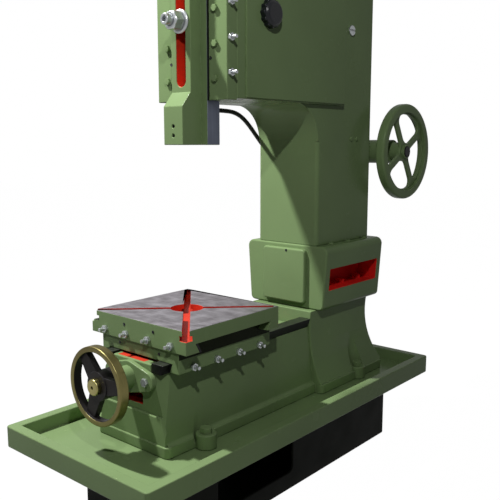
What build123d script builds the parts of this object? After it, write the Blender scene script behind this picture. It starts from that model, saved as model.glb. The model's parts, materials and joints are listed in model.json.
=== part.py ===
from build123d import *
from math import acos, atan2, cos, degrees, hypot, pi, radians, sin, sqrt, tan
import os

# Slotting machine with a crank-driven vertical ram over a cross-slide table.
# Millimetres. X is the operator's right, Y runs back to the column, Z is up.
# The origin is on the floor, straight below the centre of the table.

# Clearances
slide_gap = 0.1  # between flat sliding faces
run_gap = 0.05  # radial, between a shaft and its bore
seat_gap = 0.05  # between a fastener and its hole
over = 1  # how far a cut runs past the face it opens
blind = 4  # metal left behind a blind hole
tip_gap = 1  # between a bolt's tip and the end of its hole

# Plinth
plinth_height = 178
plinth_width = 308
plinth_front = -184
plinth_back = 645
plinth_wall = 6
plinth_plate = 8
plinth_lip = 56
plinth_window_front = -61
plinth_window_back = 204
plinth_window_low = 45
plinth_window_high = 150
plinth_window_round = 16
floor_hole_d = 18
floor_hole_inset = 45

# Drip tray
tray_width = 470
tray_front = -333
tray_back = 750
tray_height = 49
tray_floor = 17
tray_rim = 25
tray_corner_r = 8

# Base casting: bed and pedestal
bed_height = 175
bed_front = -166
bed_wall = 22
bed_lip = 18  # rise of the front wall between the ways
bed_lip_half = 60
bed_facet_back = -122
bed_cavity_half = 46
bed_cavity_floor = 40
bed_draft = 16
bed_step_height = 85
bed_step = 5
bed_cove_r = 10
foot_thick = 25
foot_front = -174
foot_back = 655
foot_rear_half = 138
foot_corner_r = 12
pedestal_front = 350
pedestal_back = 623  # at the waist, where it is narrowest
pedestal_half = 97  # at the waist
pedestal_height = 216
pedestal_flare_r = 330
bed_window_half = 34
bed_window_low = 99
bed_window_high = 122

# Anchor bolts on the foot
anchor_x = 128
anchor_front = -72
anchor_back = 534
anchor_boss_d = 47
anchor_boss_height = 33
anchor_relief = 4
anchor_relief_floor = 13
anchor_bolt_d = 20
anchor_head_af = 24
anchor_head = 12

# Dovetail ways
way_height = 22
way_outer = 98
way_width = 34
way_undercut = 8

# Saddle
saddle_half = 124
saddle_front = -146
saddle_back = 150
saddle_slab = 27
saddle_leg = 19
saddle_gib = 5
saddle_screw_pitch = 71
saddle_screw_drop = 10

# Table
table_side = 300
table_plate = 31
table_cheek = 20
cheek_width = 29
cheek_undercut = 11
cheek_overhang = 6
cheek_step = 2
table_gib = 5
table_screw_pitch = 71
table_screw_drop = 6
slot_neck = 15
slot_wide = 26
slot_neck_depth = 12
slot_depth = 22
slot_end = 20  # the wide part stops this far short of the rear corners
slot_web = 12  # and the neck this far
table_hole_d = 75

# Gib screws of table, saddle and ram
gib_screw_d = 8
gib_screw_out = 19
gib_nut_af = 15
gib_nut_height = 7

# Saddle feed: screw, nut, bearing flange and handwheel
feed_drop = 18
feed_screw_d = 22
feed_nut_half = 28
feed_nut_length = 50
feed_nut_wall = 10
flange_thick = 12
flange_boss_d = 50
flange_boss_length = 37
flange_bolt_x = 57
flange_lobe_r = 21
flange_bolt_d = 10
flange_bolt_af = 17
flange_bolt_head = 7
wheel_d = 168
wheel_rim = 12
wheel_rim_width = 22
wheel_rim_round = 3
wheel_hub_d = 62
wheel_hub_length = 44
wheel_spoke_root = 42
wheel_spoke_tip = 26
wheel_spoke_thick = 14
wheel_spokes = 3
wheel_turn = -8  # the first spoke stands this far round from level
wheel_plane = -254
wheel_spoke_plane = -251
wheel_shaft_d = 20
hub_nut_d = 35
hub_nut_height = 12
hub_nut_face = 4
hub_nut_hole_d = 7

# Table feed: screw and nut
cross_drop = 15
cross_screw_d = 16
cross_nut_half = 14
cross_nut_length = 40
cross_wall = 16
cross_nose = 14
cross_square = 12
cross_square_length = 24

# Column
column_half = 97
column_front = 373
column_back = 630
column_wall = 16
column_round = 10
column_height = 750
foot_box_half = 122  # at its bottom
foot_box_top_half = 134
foot_box_front = 370
foot_box_back = 648
foot_box_height = 169
foot_box_edge_r = 5  # round its front and back outlines
foot_box_low_r = 13
foot_box_shoulder_r = 18
foot_flange = 53
pocket_height = 56
pocket_inner = 66
pocket_margin = 22
hold_bolt_x = 82
hold_bolt_d = 16
hold_bolt_af = 24
hold_bolt_head = 10
hold_bolt_depth = 34
hold_bolt_pitch = 82
ledge_screw_x = 106
ledge_screw_d = 8
ledge_screw_af = 13
ledge_screw_head = 6
ledge_screw_depth = 20
ledge_seat = 2  # depth of the spot face under each screw
ledge_seat_d = 17
pad_half = 70
pad_low = 14
pad_high = 158
pad_thick = 12
pad_round = 10
flare_r = 92

# Head
head_half = 108
head_wall = 24
head_height = 390
head_guide = 32
head_floor = 16
head_roof = 20
cheek_back = 470
window_half = 32
block_run_back = 112

# Ram and its guides
ram_half = 30
ram_front = -8
ram_flange_half = 49
ram_flange_front = 23
ram_flange_back = 54
ram_undercut = 8
ram_drop = 100
ram_length = 460
tool_front = -34
tool_height = 83
tool_slope = 31
tool_bore_d = 25
tool_bore_depth = 70
tool_screw_d = 8
tool_screw_length = 16
tool_screw_low = 20
tool_screw_pitch = 20
ram_slot = 28
ram_slot_low = 125
ram_slot_high = 372
keeper_low = 4
keeper_bolt_x = 74
keeper_bolt_d = 8
keeper_bolt_af = 14
keeper_bolt_head = 6
keeper_bolt_pitch = 72.5
keeper_bolt_first = 42
keeper_bolt_count = 5
ram_gib = 5
ram_screw_y = 33
ram_screw_first = 53
ram_screw_pitch = 72.5
ram_screw_count = 5

# Clamp through the ram's slot, and the block behind it
stud_d = 24
stud_rise = 163  # above the head's underside
stud_end = -56
stud_socket_af = 12
stud_socket_depth = 10
nut_af = 38
nut_height = 26
washer_d = 52
washer_thick = 6
block_half = 26
block_back = 104
block_height = 76
stud_seat = 10
fork_half = 12
pin_d = 18
pin_y = 84

# Crank and connecting rod
rod_length = 210
rod_thick = 22
rod_width = 26
small_eye_d = 34
big_eye_d = 50
crank_pin_d = 26
crank_pin_head = 6
crank_pin_head_d = 40
crank_radius = 64.3
crank_y = 185
crank_rim = 21
crank_disc_thick = 20
crank_disc_face = -30
open_pivot_gap = 0.5
crankshaft_d = 45
bush_wall = 12
bush_flange = 6
bush_flange_d = 92
crankshaft_nose = 8
chain_x = -67
chain_width = 9
chain_inside = 4
chain_outside = 6
crank_sprocket_r = 89
sprocket_teeth_ratio = 4
sprocket_hub_d = 70
counter_hub_d = 34
hub_gap = 0.3
link_gap = 0.4

# Countershaft behind the column
counter_y = 739
counter_z = 819
counter_d = 30
sleeve_d = 68
sleeve_left = -40
sleeve_right = 108
bracket_foot = 14
bracket_half = 55
bracket_width = 110
bracket_web = 34
bracket_bolt_d = 12
bracket_bolt_af = 19
bracket_bolt_head = 8
bracket_bolt_inset = 16
rear_wheel_d = 270
rear_wheel_rim = 24
rear_wheel_width = 27
rear_wheel_web = 9
rear_wheel_x = 140
rear_wheel_hub_d = 54
rear_hub_nose_d = 40
rear_hub_length = 44
rear_spokes = 4
rear_spoke = 19  # width of a spoke
rear_hole_r = 106  # reach of the holes between the spokes
rear_hole_inner_round = 30
rear_hole_outer_round = 18
rear_hole_turn = 75
counter_nose = 2

# Belt drive and motor
belt_x = -125
belt_width = 13
belt_inside = 4
belt_outside = 4
pulley_face = 24
counter_pulley_r = 125
motor_pulley_r = 40
motor_y = 505
motor_centre = 90
motor_d = 150
motor_left = -78
motor_right = 92
motor_fins = 22
motor_fin = 9
motor_fin_thick = 4
motor_shaft_d = 24
motor_foot_half = 78
motor_foot_length = 118
motor_foot_thick = 12
motor_cowl = 40
box_half = 46
box_width = 74
box_height = 36

# Small parts
plug_y = 158
plug_rise = 188
plug_d = 64
plug_thick = 24
plug_spigot_d = 46
plug_lobe_r = 5
plug_lobes = 12
sight_y = 517
sight_rise = 195
sight_d = 26
sight_shank_d = 16
sight_head = 6
sight_depth = 14
sight_slot = 3

# Cable from the head to the column, with an elbow gland at each end
cable_d = 11
gland_af = 22
gland_hex = 8
gland_d = 19
gland_rise = 16
gland_reach = 24
head_gland_x = -74
head_gland_y = 150
column_gland_y = 500
column_gland_z = 775
column_gland_tilt = 32
cable_run = 45  # straight run into the column's gland

# Heights that follow from the stack
tray_bottom = plinth_height
tray_floor_z = tray_bottom + tray_floor
foot_top = tray_floor_z + foot_thick
bed_top = tray_floor_z + bed_height
way_top = bed_top + way_height
saddle_bottom = way_top + slide_gap
saddle_top = saddle_bottom + saddle_slab
cheek_bottom = saddle_top + slide_gap
plate_bottom = cheek_bottom + table_cheek
table_top = plate_bottom + table_plate
pedestal_top = tray_floor_z + pedestal_height
pocket_floor = pedestal_top + foot_flange
ledge_z = pedestal_top + foot_box_height
column_top = ledge_z + column_height
head_bottom = column_top - head_height
feed_z = bed_top - feed_drop
cross_z = plate_bottom - cross_drop
ram_bottom = head_bottom - ram_drop
head_front = ram_flange_back + slide_gap
stud_z = head_bottom + stud_rise

# Crank geometry: the ram rests at the top of its stroke, with rod and crank folded in line
pin_offset = crank_y - pin_y
reach_top = sqrt((rod_length - crank_radius) ** 2 - pin_offset**2)
reach_bottom = sqrt((rod_length + crank_radius) ** 2 - pin_offset**2)
stroke = reach_bottom - reach_top
crank_z = stud_z + reach_top
crank_top_angle = atan2(reach_top, pin_offset)
crank_bottom_angle = atan2(-reach_bottom, -pin_offset) + 2 * pi
crank_turn = degrees(crank_bottom_angle - crank_top_angle)
crank_pin_y = crank_y + crank_radius * cos(crank_top_angle)
crank_pin_z = crank_z + crank_radius * sin(crank_top_angle)
rod_top_lean = atan2(crank_pin_y - pin_y, crank_pin_z - stud_z)
rod_bottom_y = crank_y + crank_radius * cos(crank_bottom_angle)
rod_bottom_z = crank_z + crank_radius * sin(crank_bottom_angle)
rod_bottom_lean = atan2(rod_bottom_y - pin_y, rod_bottom_z - (stud_z - stroke))


# Shapes used over and over
def block(x0, x1, y0, y1, z0, z1):
    return Pos((x0 + x1) / 2, (y0 + y1) / 2, (z0 + z1) / 2) * Box(x1 - x0, y1 - y0, z1 - z0)


def bar_x(y, z, d, x0, x1):
    return Pos((x0 + x1) / 2, y, z) * Rot(0, 90, 0) * Cylinder(d / 2, x1 - x0)


def bar_y(x, z, d, y0, y1):
    return Pos(x, (y0 + y1) / 2, z) * Rot(90, 0, 0) * Cylinder(d / 2, y1 - y0)


def bar_z(x, y, d, z0, z1):
    return Pos(x, y, (z0 + z1) / 2) * Cylinder(d / 2, z1 - z0)


# Holes clear their fitted part all round and run past both faces
def hole_x(y, z, d, x0, x1):
    return bar_x(y, z, d + 2 * seat_gap, x0 - over, x1 + over)


def hole_y(x, z, d, y0, y1):
    return bar_y(x, z, d + 2 * seat_gap, y0 - over, y1 + over)


def hole_z(x, y, d, z0, z1):
    return bar_z(x, y, d + 2 * seat_gap, z0 - over, z1 + over)


def hexagon(across, height):
    return extrude(RegularPolygon(across / 2, 6, major_radius=False), amount=height)


def hex_x(y, z, across, x0, x1):
    return Pos(x0, y, z) * Rot(0, 90, 0) * hexagon(across, x1 - x0)


def hex_y(x, z, across, y0, y1):
    return Pos(x, y0, z) * Rot(-90, 0, 0) * hexagon(across, y1 - y0)


def hex_z(x, y, across, z0, z1):
    return Pos(x, y, z0) * hexagon(across, z1 - z0)


def prism_x(points, x0, x1):
    face = Face(Wire.make_polygon([(x0, y, z) for y, z in points], close=True))
    return extrude(face, amount=x1 - x0, dir=(1, 0, 0))


def prism_y(points, y0, y1):
    face = Face(Wire.make_polygon([(x, y0, z) for x, z in points], close=True))
    return extrude(face, amount=y1 - y0, dir=(0, 1, 0))


def prism_z(points, z0, z1):
    face = Face(Wire.make_polygon([(x, y, z0) for x, y in points], close=True))
    return extrude(face, amount=z1 - z0, dir=(0, 0, 1))


def mirrored(points):
    return [(-a, b) for a, b in points]


def rounded_block(x0, x1, y0, y1, z0, z1, radius):
    solid = block(x0, x1, y0, y1, z0, z1)
    return fillet(solid.edges().filter_by(Axis.Z), radius)


def loop_outline(y1, z1, r1, y2, z2, r2, x):
    # Outline of a band stretched round two wheels, in the plane at x
    span = hypot(y2 - y1, z2 - z1)
    along = atan2(z2 - z1, y2 - y1)
    lean = acos((r1 - r2) / span)

    def at(y, z, r, angle):
        return Vector(x, y + r * cos(angle), z + r * sin(angle))

    a1 = at(y1, z1, r1, along + lean)
    b1 = at(y2, z2, r2, along + lean)
    b2 = at(y2, z2, r2, along - lean)
    a2 = at(y1, z1, r1, along - lean)
    edges = [
        Edge.make_line(a1, b1),
        Edge.make_three_point_arc(b1, at(y2, z2, r2, along), b2),
        Edge.make_line(b2, a2),
        Edge.make_three_point_arc(a2, at(y1, z1, r1, along + pi), a1),
    ]
    return Face(Wire(edges))


def loop_band(y1, z1, r1, y2, z2, r2, inside, outside, x, width):
    x0 = x - width / 2
    outer = extrude(loop_outline(y1, z1, r1 + outside, y2, z2, r2 + outside, x0), amount=width, dir=(1, 0, 0))
    inner = extrude(loop_outline(y1, z1, r1 - inside, y2, z2, r2 - inside, x0), amount=width, dir=(1, 0, 0))
    return outer - inner


os.makedirs("parts", exist_ok=True)


def save(name, shape):
    if isinstance(shape, list):
        shape = Compound(shape)
    shape.label = name
    export_step(shape, "parts/" + name + ".step")


# Places along a row, centred on a middle value
def row(middle, pitch, count):
    return [middle + (i - (count - 1) / 2) * pitch for i in range(count)]


anchor_spots = [(side * anchor_x, y) for side in (-1, 1) for y in (anchor_front, anchor_back)]
hold_spots = [
    (side * hold_bolt_x, y)
    for side in (-1, 1)
    for y in row((foot_box_front + foot_box_back) / 2, hold_bolt_pitch, 3)
]
ledge_spots = [
    (side * ledge_screw_x, y)
    for side in (-1, 1)
    for y in row((foot_box_front + foot_box_back) / 2, hold_bolt_pitch, 3)
]


# Plinth: a welded box with a floor plate, a window in each side and an inward lip under the tray
def make_plinth():
    half = plinth_width / 2
    inner = half - plinth_wall
    y0 = plinth_front + plinth_wall
    y1 = plinth_back - plinth_wall
    body = block(-half, half, plinth_front, plinth_back, 0, plinth_height)
    body -= block(-inner, inner, y0, y1, plinth_plate, plinth_height - plinth_plate)
    mouth = half - plinth_lip
    lip_y0 = plinth_front + plinth_lip
    lip_y1 = plinth_back - plinth_lip
    lip_under = plinth_height - 2 * plinth_plate
    body -= block(-mouth, mouth, lip_y0, lip_y1, lip_under, plinth_height + over)
    window = block(
        -half - over,
        half + over,
        plinth_window_front,
        plinth_window_back,
        plinth_window_low,
        plinth_window_high,
    )
    body -= fillet(window.edges().filter_by(Axis.X), plinth_window_round)
    for side in (-1, 1):
        for y in (plinth_front + floor_hole_inset, plinth_back - floor_hole_inset):
            x = side * (half - floor_hole_inset)
            body -= bar_z(x, y, floor_hole_d, -plinth_plate, 2 * plinth_plate)
    for x, y in anchor_spots:
        body -= hole_z(x, y, anchor_bolt_d, lip_under, plinth_height)
    return body


def make_tray():
    half = tray_width / 2
    top = tray_bottom + tray_height
    body = rounded_block(-half, half, tray_front, tray_back, tray_bottom, top, tray_corner_r)
    x = half - tray_rim
    body -= block(-x, x, tray_front + tray_rim, tray_back - tray_rim, tray_floor_z, top + over)
    for x, y in anchor_spots:
        body -= hole_z(x, y, anchor_bolt_d, tray_bottom, tray_floor_z)
    return body


# Pedestal: its sides and back are hollow curves, narrowest level with the bed's top
def make_pedestal():
    flare = pedestal_flare_r - sqrt(pedestal_flare_r**2 - (bed_top - foot_top) ** 2)
    half = pedestal_half + flare
    back = pedestal_back + flare
    body = block(-half, half, pedestal_front, back, foot_top, pedestal_top)
    for side in (-1, 1):
        x = side * (pedestal_half + pedestal_flare_r)
        body -= bar_y(x, bed_top, 2 * pedestal_flare_r, pedestal_front - over, back + over)
    return body - bar_x(pedestal_back + pedestal_flare_r, bed_top, 2 * pedestal_flare_r, -half - over, half + over)


# Base: the bed is a drafted hollow box on a low foot, the pedestal rises behind it
def make_base():
    neck = way_outer - way_undercut
    low = neck + bed_draft
    foot = low + bed_cove_r
    lip_top = bed_top + bed_lip
    half_profile = [
        (0, bed_top),
        (neck, bed_top),
        (low, foot_top + bed_cove_r),
        (low, foot_top),
        (0, foot_top),
    ]
    base = prism_y(half_profile, bed_front, pedestal_front)
    base += prism_y(mirrored(half_profile), bed_front, pedestal_front)
    for side in (-1, 1):
        x0 = min(side * low, side * foot)
        cove = block(x0, x0 + bed_cove_r, bed_front, pedestal_front, foot_top, foot_top + bed_cove_r)
        cove -= bar_y(
            side * foot, foot_top + bed_cove_r, 2 * bed_cove_r, bed_front - over, pedestal_front + over
        )
        base += cove
    step_front = bed_front - bed_step
    base += block(-low, low, step_front, bed_front, tray_floor_z, tray_floor_z + bed_step_height)
    lip_back = bed_front + bed_wall
    base += block(-bed_lip_half, bed_lip_half, bed_front, lip_back, bed_top - over, lip_top)
    for side in (-1, 1):
        base = split(base, bisect_by=bed_facet(side, foot, lip_top), keep=Keep.BOTTOM)
    base += rounded_block(-foot, foot, foot_front, foot_back, tray_floor_z, foot_top, foot_corner_r)
    base += rounded_block(
        -foot_rear_half, foot_rear_half, pedestal_front, foot_back, tray_floor_z, foot_top, foot_corner_r
    )
    base += make_pedestal()
    boss_top = tray_floor_z + anchor_boss_height
    relief_floor = tray_floor_z + anchor_relief_floor
    for x, y in anchor_spots:
        base -= bar_z(x, y, anchor_boss_d + 2 * anchor_relief, relief_floor, bed_top)
        base += bar_z(x, y, anchor_boss_d, tray_floor_z, boss_top)
        base -= hole_z(x, y, anchor_bolt_d, tray_floor_z, boss_top)
    cavity_back = pedestal_front - bed_wall
    base -= block(
        -bed_cavity_half,
        bed_cavity_half,
        lip_back,
        cavity_back,
        tray_floor_z + bed_cavity_floor,
        lip_top + over,
    )
    base -= block(
        -bed_window_half,
        bed_window_half,
        step_front - over,
        lip_back + over,
        tray_floor_z + bed_window_low,
        tray_floor_z + bed_window_high,
    )
    base -= bar_y(0, feed_z, feed_screw_d + 2 * run_gap, step_front, pedestal_front - blind)
    for x in (-flange_bolt_x, flange_bolt_x):
        base -= bar_y(x, feed_z, flange_bolt_d + 2 * seat_gap, bed_front - over, lip_back - blind)
    for x, y in hold_spots:
        base -= bar_z(x, y, hold_bolt_d + 2 * seat_gap, pedestal_top - hold_bolt_depth, pedestal_top + over)
    return base


# Plane that slopes a front corner of the bed back towards its way
def bed_facet(side, foot, lip_top):
    inner = Vector(side * bed_lip_half, bed_front, lip_top)
    low = Vector(side * foot, bed_front, foot_top)
    outer = Vector(side * way_outer, bed_facet_back, lip_top)
    return Plane(origin=inner, x_dir=low - inner, z_dir=(low - inner).cross(outer - inner) * side)


def make_way(side):
    points = [
        (way_outer - way_width, bed_top),
        (way_outer - way_width, way_top),
        (way_outer, way_top),
        (way_outer - way_undercut, bed_top),
    ]
    if side < 0:
        points = mirrored(points)
    return prism_y(points, bed_front, pedestal_front)


def way_flank(z):
    return way_outer - way_undercut * (way_top - z) / way_height


# Saddle: wraps the ways below, carries a dovetail for the table above
saddle_leg_z = way_top - saddle_leg
saddle_screw_z = way_top - saddle_screw_drop
saddle_screw_spots = row((saddle_front + saddle_back) / 2, saddle_screw_pitch, 4)
saddle_gib_out = slide_gap + saddle_gib + seat_gap


def cheek_flank(z):
    return table_side / 2 - cheek_width - cheek_undercut * (plate_bottom - z) / table_cheek


def make_saddle():
    leg_low = saddle_leg_z
    gap = slide_gap
    out = saddle_gib_out
    profile = [
        (-saddle_half, leg_low),
        (-saddle_half, saddle_top),
        (saddle_half, saddle_top),
        (saddle_half, leg_low),
        (way_flank(leg_low) + out, leg_low),
        (way_flank(saddle_bottom) + out, saddle_bottom),
        (-way_flank(saddle_bottom) - gap, saddle_bottom),
        (-way_flank(leg_low) - gap, leg_low),
    ]
    body = prism_y(profile, saddle_front, saddle_back)
    front = slide_gap + table_gib + seat_gap
    tail_top = plate_bottom - slide_gap
    tail = [
        (-cheek_flank(saddle_top) + front, saddle_top),
        (-cheek_flank(tail_top) + front, tail_top),
        (cheek_flank(tail_top) - slide_gap, tail_top),
        (cheek_flank(saddle_top) - slide_gap, saddle_top),
    ]
    body += prism_x(tail, -saddle_half, saddle_half)
    groove = cross_nut_half + over
    reach = saddle_half - cross_wall
    body -= block(-reach, reach, -groove, groove, cross_z - groove, plate_bottom)
    body -= bar_x(0, cross_z, cross_screw_d + 2 * run_gap, -saddle_half - over, saddle_half - cross_wall / 3)
    for y in saddle_screw_spots:
        inner = way_outer - way_undercut
        body -= bar_x(y, saddle_screw_z, gib_screw_d + 2 * seat_gap, inner, saddle_half + over)
    return body


def make_saddle_gib():
    low = saddle_leg_z + slide_gap
    high = saddle_bottom - seat_gap
    points = [
        (way_flank(low) + slide_gap, low),
        (way_flank(high) + slide_gap, high),
        (way_flank(high) + slide_gap + saddle_gib, high),
        (way_flank(low) + slide_gap + saddle_gib, low),
    ]
    return prism_y(points, saddle_front, saddle_back)


def make_saddle_screws():
    lean = way_undercut / way_height * gib_screw_d / 2
    tip = way_flank(saddle_screw_z) + saddle_gib_out + lean
    end = saddle_half + gib_screw_out
    return [bar_x(y, saddle_screw_z, gib_screw_d, tip, end) for y in saddle_screw_spots]


# Gib locknuts, standing out from a right-hand or front face
def nut_x(y, z, face):
    bore = hole_x(y, z, gib_screw_d, face, face + gib_nut_height)
    return hex_x(y, z, gib_nut_af, face, face + gib_nut_height) - bore


def nut_y(x, z, face):
    bore = hole_y(x, z, gib_screw_d, face - gib_nut_height, face)
    return hex_y(x, z, gib_nut_af, face - gib_nut_height, face) - bore


# Table: ground plate with crossing T-slots, and two dovetail cheeks below it
table_screw_z = plate_bottom - table_screw_drop
table_screw_spots = row(0, table_screw_pitch, 4)
table_half = table_side / 2


def make_table():
    body = block(-table_half, table_half, -table_half, table_half, plate_bottom, table_top)
    span = table_side * sqrt(2)
    wide_height = slot_depth - slot_neck_depth
    wide_length = span / 2 - slot_end
    for turn in (45, 135):
        along = Pos(0, 0, table_top) * Rot(0, 0, turn)
        body -= along * Pos(-slot_web / 2, 0, 0) * Box(span - slot_web, slot_neck, 2 * slot_neck_depth)
        wide = Box(span / 2 + wide_length, slot_wide, wide_height)
        body -= along * Pos(-slot_end / 2, 0, -slot_neck_depth - wide_height / 2) * wide
    body -= bar_z(0, 0, table_hole_d, table_top - slot_depth, table_top + over)
    tail_top = plate_bottom + cheek_overhang - cheek_step
    for side in (-1, 1):
        cheek = [
            (side * table_half, plate_bottom),
            (side * cheek_flank(plate_bottom), plate_bottom),
            (side * cheek_flank(cheek_bottom), cheek_bottom),
            (side * table_half, cheek_bottom),
        ]
        body += prism_x(cheek, -table_half, table_half)
        tail = [
            (side * table_half, tail_top),
            (side * cheek_flank(plate_bottom), tail_top),
            (side * cheek_flank(plate_bottom), plate_bottom),
            (side * cheek_flank(cheek_bottom), cheek_bottom),
            (side * table_half, cheek_bottom),
        ]
        body += prism_x(tail, -table_half - cheek_overhang, -table_half)
    for x in table_screw_spots:
        inner = -cheek_flank(cheek_bottom)
        body -= bar_y(x, table_screw_z, gib_screw_d + 2 * seat_gap, -table_half - over, inner)
    return body


def make_table_gib():
    low = cheek_bottom + seat_gap
    high = plate_bottom - seat_gap
    inner = table_gib + seat_gap
    points = [
        (-cheek_flank(low) + seat_gap, low),
        (-cheek_flank(high) + seat_gap, high),
        (-cheek_flank(high) + inner, high),
        (-cheek_flank(low) + inner, low),
    ]
    return prism_x(points, -table_half, table_half)


def make_table_screws():
    lean = cheek_undercut / table_cheek * gib_screw_d / 2
    tip = -cheek_flank(table_screw_z) - lean
    y0 = -table_half - gib_screw_out
    return [bar_y(x, table_screw_z, gib_screw_d, y0, tip) for x in table_screw_spots]


# Saddle feed along Y
flange_front = bed_front - flange_thick
boss_front = flange_front - flange_boss_length
hub_back = boss_front - over
hub_front = hub_back - wheel_hub_length
hub_nut_front = hub_front - hub_nut_height
hub_nut_inside = hub_nut_front + hub_nut_face


def make_feed_screw():
    screw = bar_y(0, feed_z, feed_screw_d, bed_front, pedestal_front - blind - tip_gap)
    return screw + bar_y(0, feed_z, wheel_shaft_d, hub_nut_inside, bed_front)


def make_feed_nut():
    half = feed_nut_length / 2
    low = feed_z - feed_screw_d / 2 - feed_nut_wall
    nut = block(-feed_nut_half, feed_nut_half, -half, half, low, saddle_bottom)
    return nut - bar_y(0, feed_z, feed_screw_d + 2 * run_gap, -half - over, half + over)


def make_feed_flange():
    boss_r = flange_boss_d / 2 + flange_bolt_d
    oval = make_hull([Circle(boss_r).edge()] + [
        (Pos(side * flange_bolt_x, 0) * Circle(flange_lobe_r)).edge() for side in (-1, 1)
    ])
    plate = Pos(0, bed_front, feed_z) * Rot(90, 0, 0) * extrude(oval, amount=flange_thick)
    plate += bar_y(0, feed_z, flange_boss_d, boss_front, flange_front)
    plate -= bar_y(0, feed_z, wheel_shaft_d + 2 * run_gap, boss_front - over, bed_front + over)
    for x in (-flange_bolt_x, flange_bolt_x):
        plate -= hole_y(x, feed_z, flange_bolt_d, flange_front, bed_front)
    return plate


def make_flange_bolts():
    bolts = []
    for x in (-flange_bolt_x, flange_bolt_x):
        shank = bar_y(x, feed_z, flange_bolt_d, flange_front, bed_front + bed_wall - blind - tip_gap)
        bolts.append(shank + hex_y(x, feed_z, flange_bolt_af, flange_front - flange_bolt_head, flange_front))
    return bolts


def make_front_wheel():
    rim_r = wheel_d / 2 - wheel_rim
    y0 = wheel_plane - wheel_rim_width / 2
    y1 = wheel_plane + wheel_rim_width / 2
    rim = bar_y(0, feed_z, wheel_d, y0, y1) - bar_y(0, feed_z, 2 * rim_r, y0 - over, y1 + over)
    wheel = fillet(rim.edges().filter_by(GeomType.CIRCLE), wheel_rim_round)
    wheel += bar_y(0, feed_z, wheel_hub_d, hub_front, hub_back)
    reach = rim_r + wheel_rim / 2
    spoke = [
        (0, -wheel_spoke_root / 2),
        (reach, -wheel_spoke_tip / 2),
        (reach, wheel_spoke_tip / 2),
        (0, wheel_spoke_root / 2),
    ]
    half = wheel_spoke_thick / 2
    arm = prism_y(spoke, wheel_spoke_plane - half, wheel_spoke_plane + half)
    for i in range(wheel_spokes):
        wheel += Pos(0, 0, feed_z) * Rot(0, wheel_turn + i * 360 / wheel_spokes, 0) * arm
    return wheel - hole_y(0, feed_z, wheel_shaft_d, hub_front, hub_back)


def make_hub_nut():
    nut = bar_y(0, feed_z, hub_nut_d, hub_nut_front, hub_front)
    nut = chamfer(nut.edges().group_by(Axis.Y)[0], hub_nut_height / 5)
    nut -= bar_y(0, feed_z, wheel_shaft_d + 2 * seat_gap, hub_nut_inside, hub_front + over)
    return nut - bar_y(0, feed_z, hub_nut_hole_d, hub_nut_front - over, hub_nut_inside + over)


# Table feed along X
def make_cross_screw():
    left = -saddle_half - cross_nose
    screw = bar_x(0, cross_z, cross_screw_d, left, saddle_half - cross_wall / 3 - tip_gap)
    square = block(
        left - cross_square_length,
        left,
        -cross_square / 2,
        cross_square / 2,
        cross_z - cross_square / 2,
        cross_z + cross_square / 2,
    )
    return screw + square


def make_cross_nut():
    half = cross_nut_length / 2
    nut = block(-half, half, -cross_nut_half, cross_nut_half, cross_z - cross_nut_half, plate_bottom)
    return nut - bar_x(0, cross_z, cross_screw_d + 2 * run_gap, -half - over, half + over)


# Column's foot: a box with bolt pockets in its sides and a raised pad on its front
def make_column_foot():
    profile = [
        (-foot_box_half, pedestal_top),
        (foot_box_half, pedestal_top),
        (foot_box_top_half, ledge_z),
        (-foot_box_top_half, ledge_z),
    ]
    outline = Face(Wire.make_polygon([(x, foot_box_front, z) for x, z in profile], close=True))
    outline = outline.fillet_2d(foot_box_shoulder_r, outline.vertices().group_by(Axis.Z)[-1])
    outline = outline.fillet_2d(foot_box_low_r, outline.vertices().group_by(Axis.Z)[0])
    foot = extrude(outline, amount=foot_box_back - foot_box_front, dir=(0, 1, 0))
    ends = foot.edges().group_by(Axis.Y)
    foot = fillet(ends[0] + ends[-1], foot_box_edge_r)
    pad_front = foot_box_front - pad_thick
    pad = block(
        -pad_half, pad_half, pad_front, foot_box_front, pedestal_top + pad_low, pedestal_top + pad_high
    )
    pad = fillet(pad.edges().filter_by(Axis.Y), pad_round)
    foot += fillet(pad.edges().group_by(Axis.Y)[0], pad_round / 2)
    for side in (-1, 1):
        x0 = min(side * pocket_inner, side * (foot_box_top_half + over))
        x1 = max(side * pocket_inner, side * (foot_box_top_half + over))
        foot -= block(
            x0,
            x1,
            foot_box_front + pocket_margin,
            foot_box_back - pocket_margin,
            pocket_floor,
            pocket_floor + pocket_height,
        )
    for x, y in hold_spots:
        foot -= hole_z(x, y, hold_bolt_d, pedestal_top, pocket_floor)
    for x, y in ledge_spots:
        foot -= bar_z(x, y, ledge_screw_d + 2 * seat_gap, ledge_z - ledge_screw_depth, ledge_z + over)
        foot -= bar_z(x, y, ledge_seat_d, ledge_z - ledge_seat, ledge_z + over)
    return foot


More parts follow.
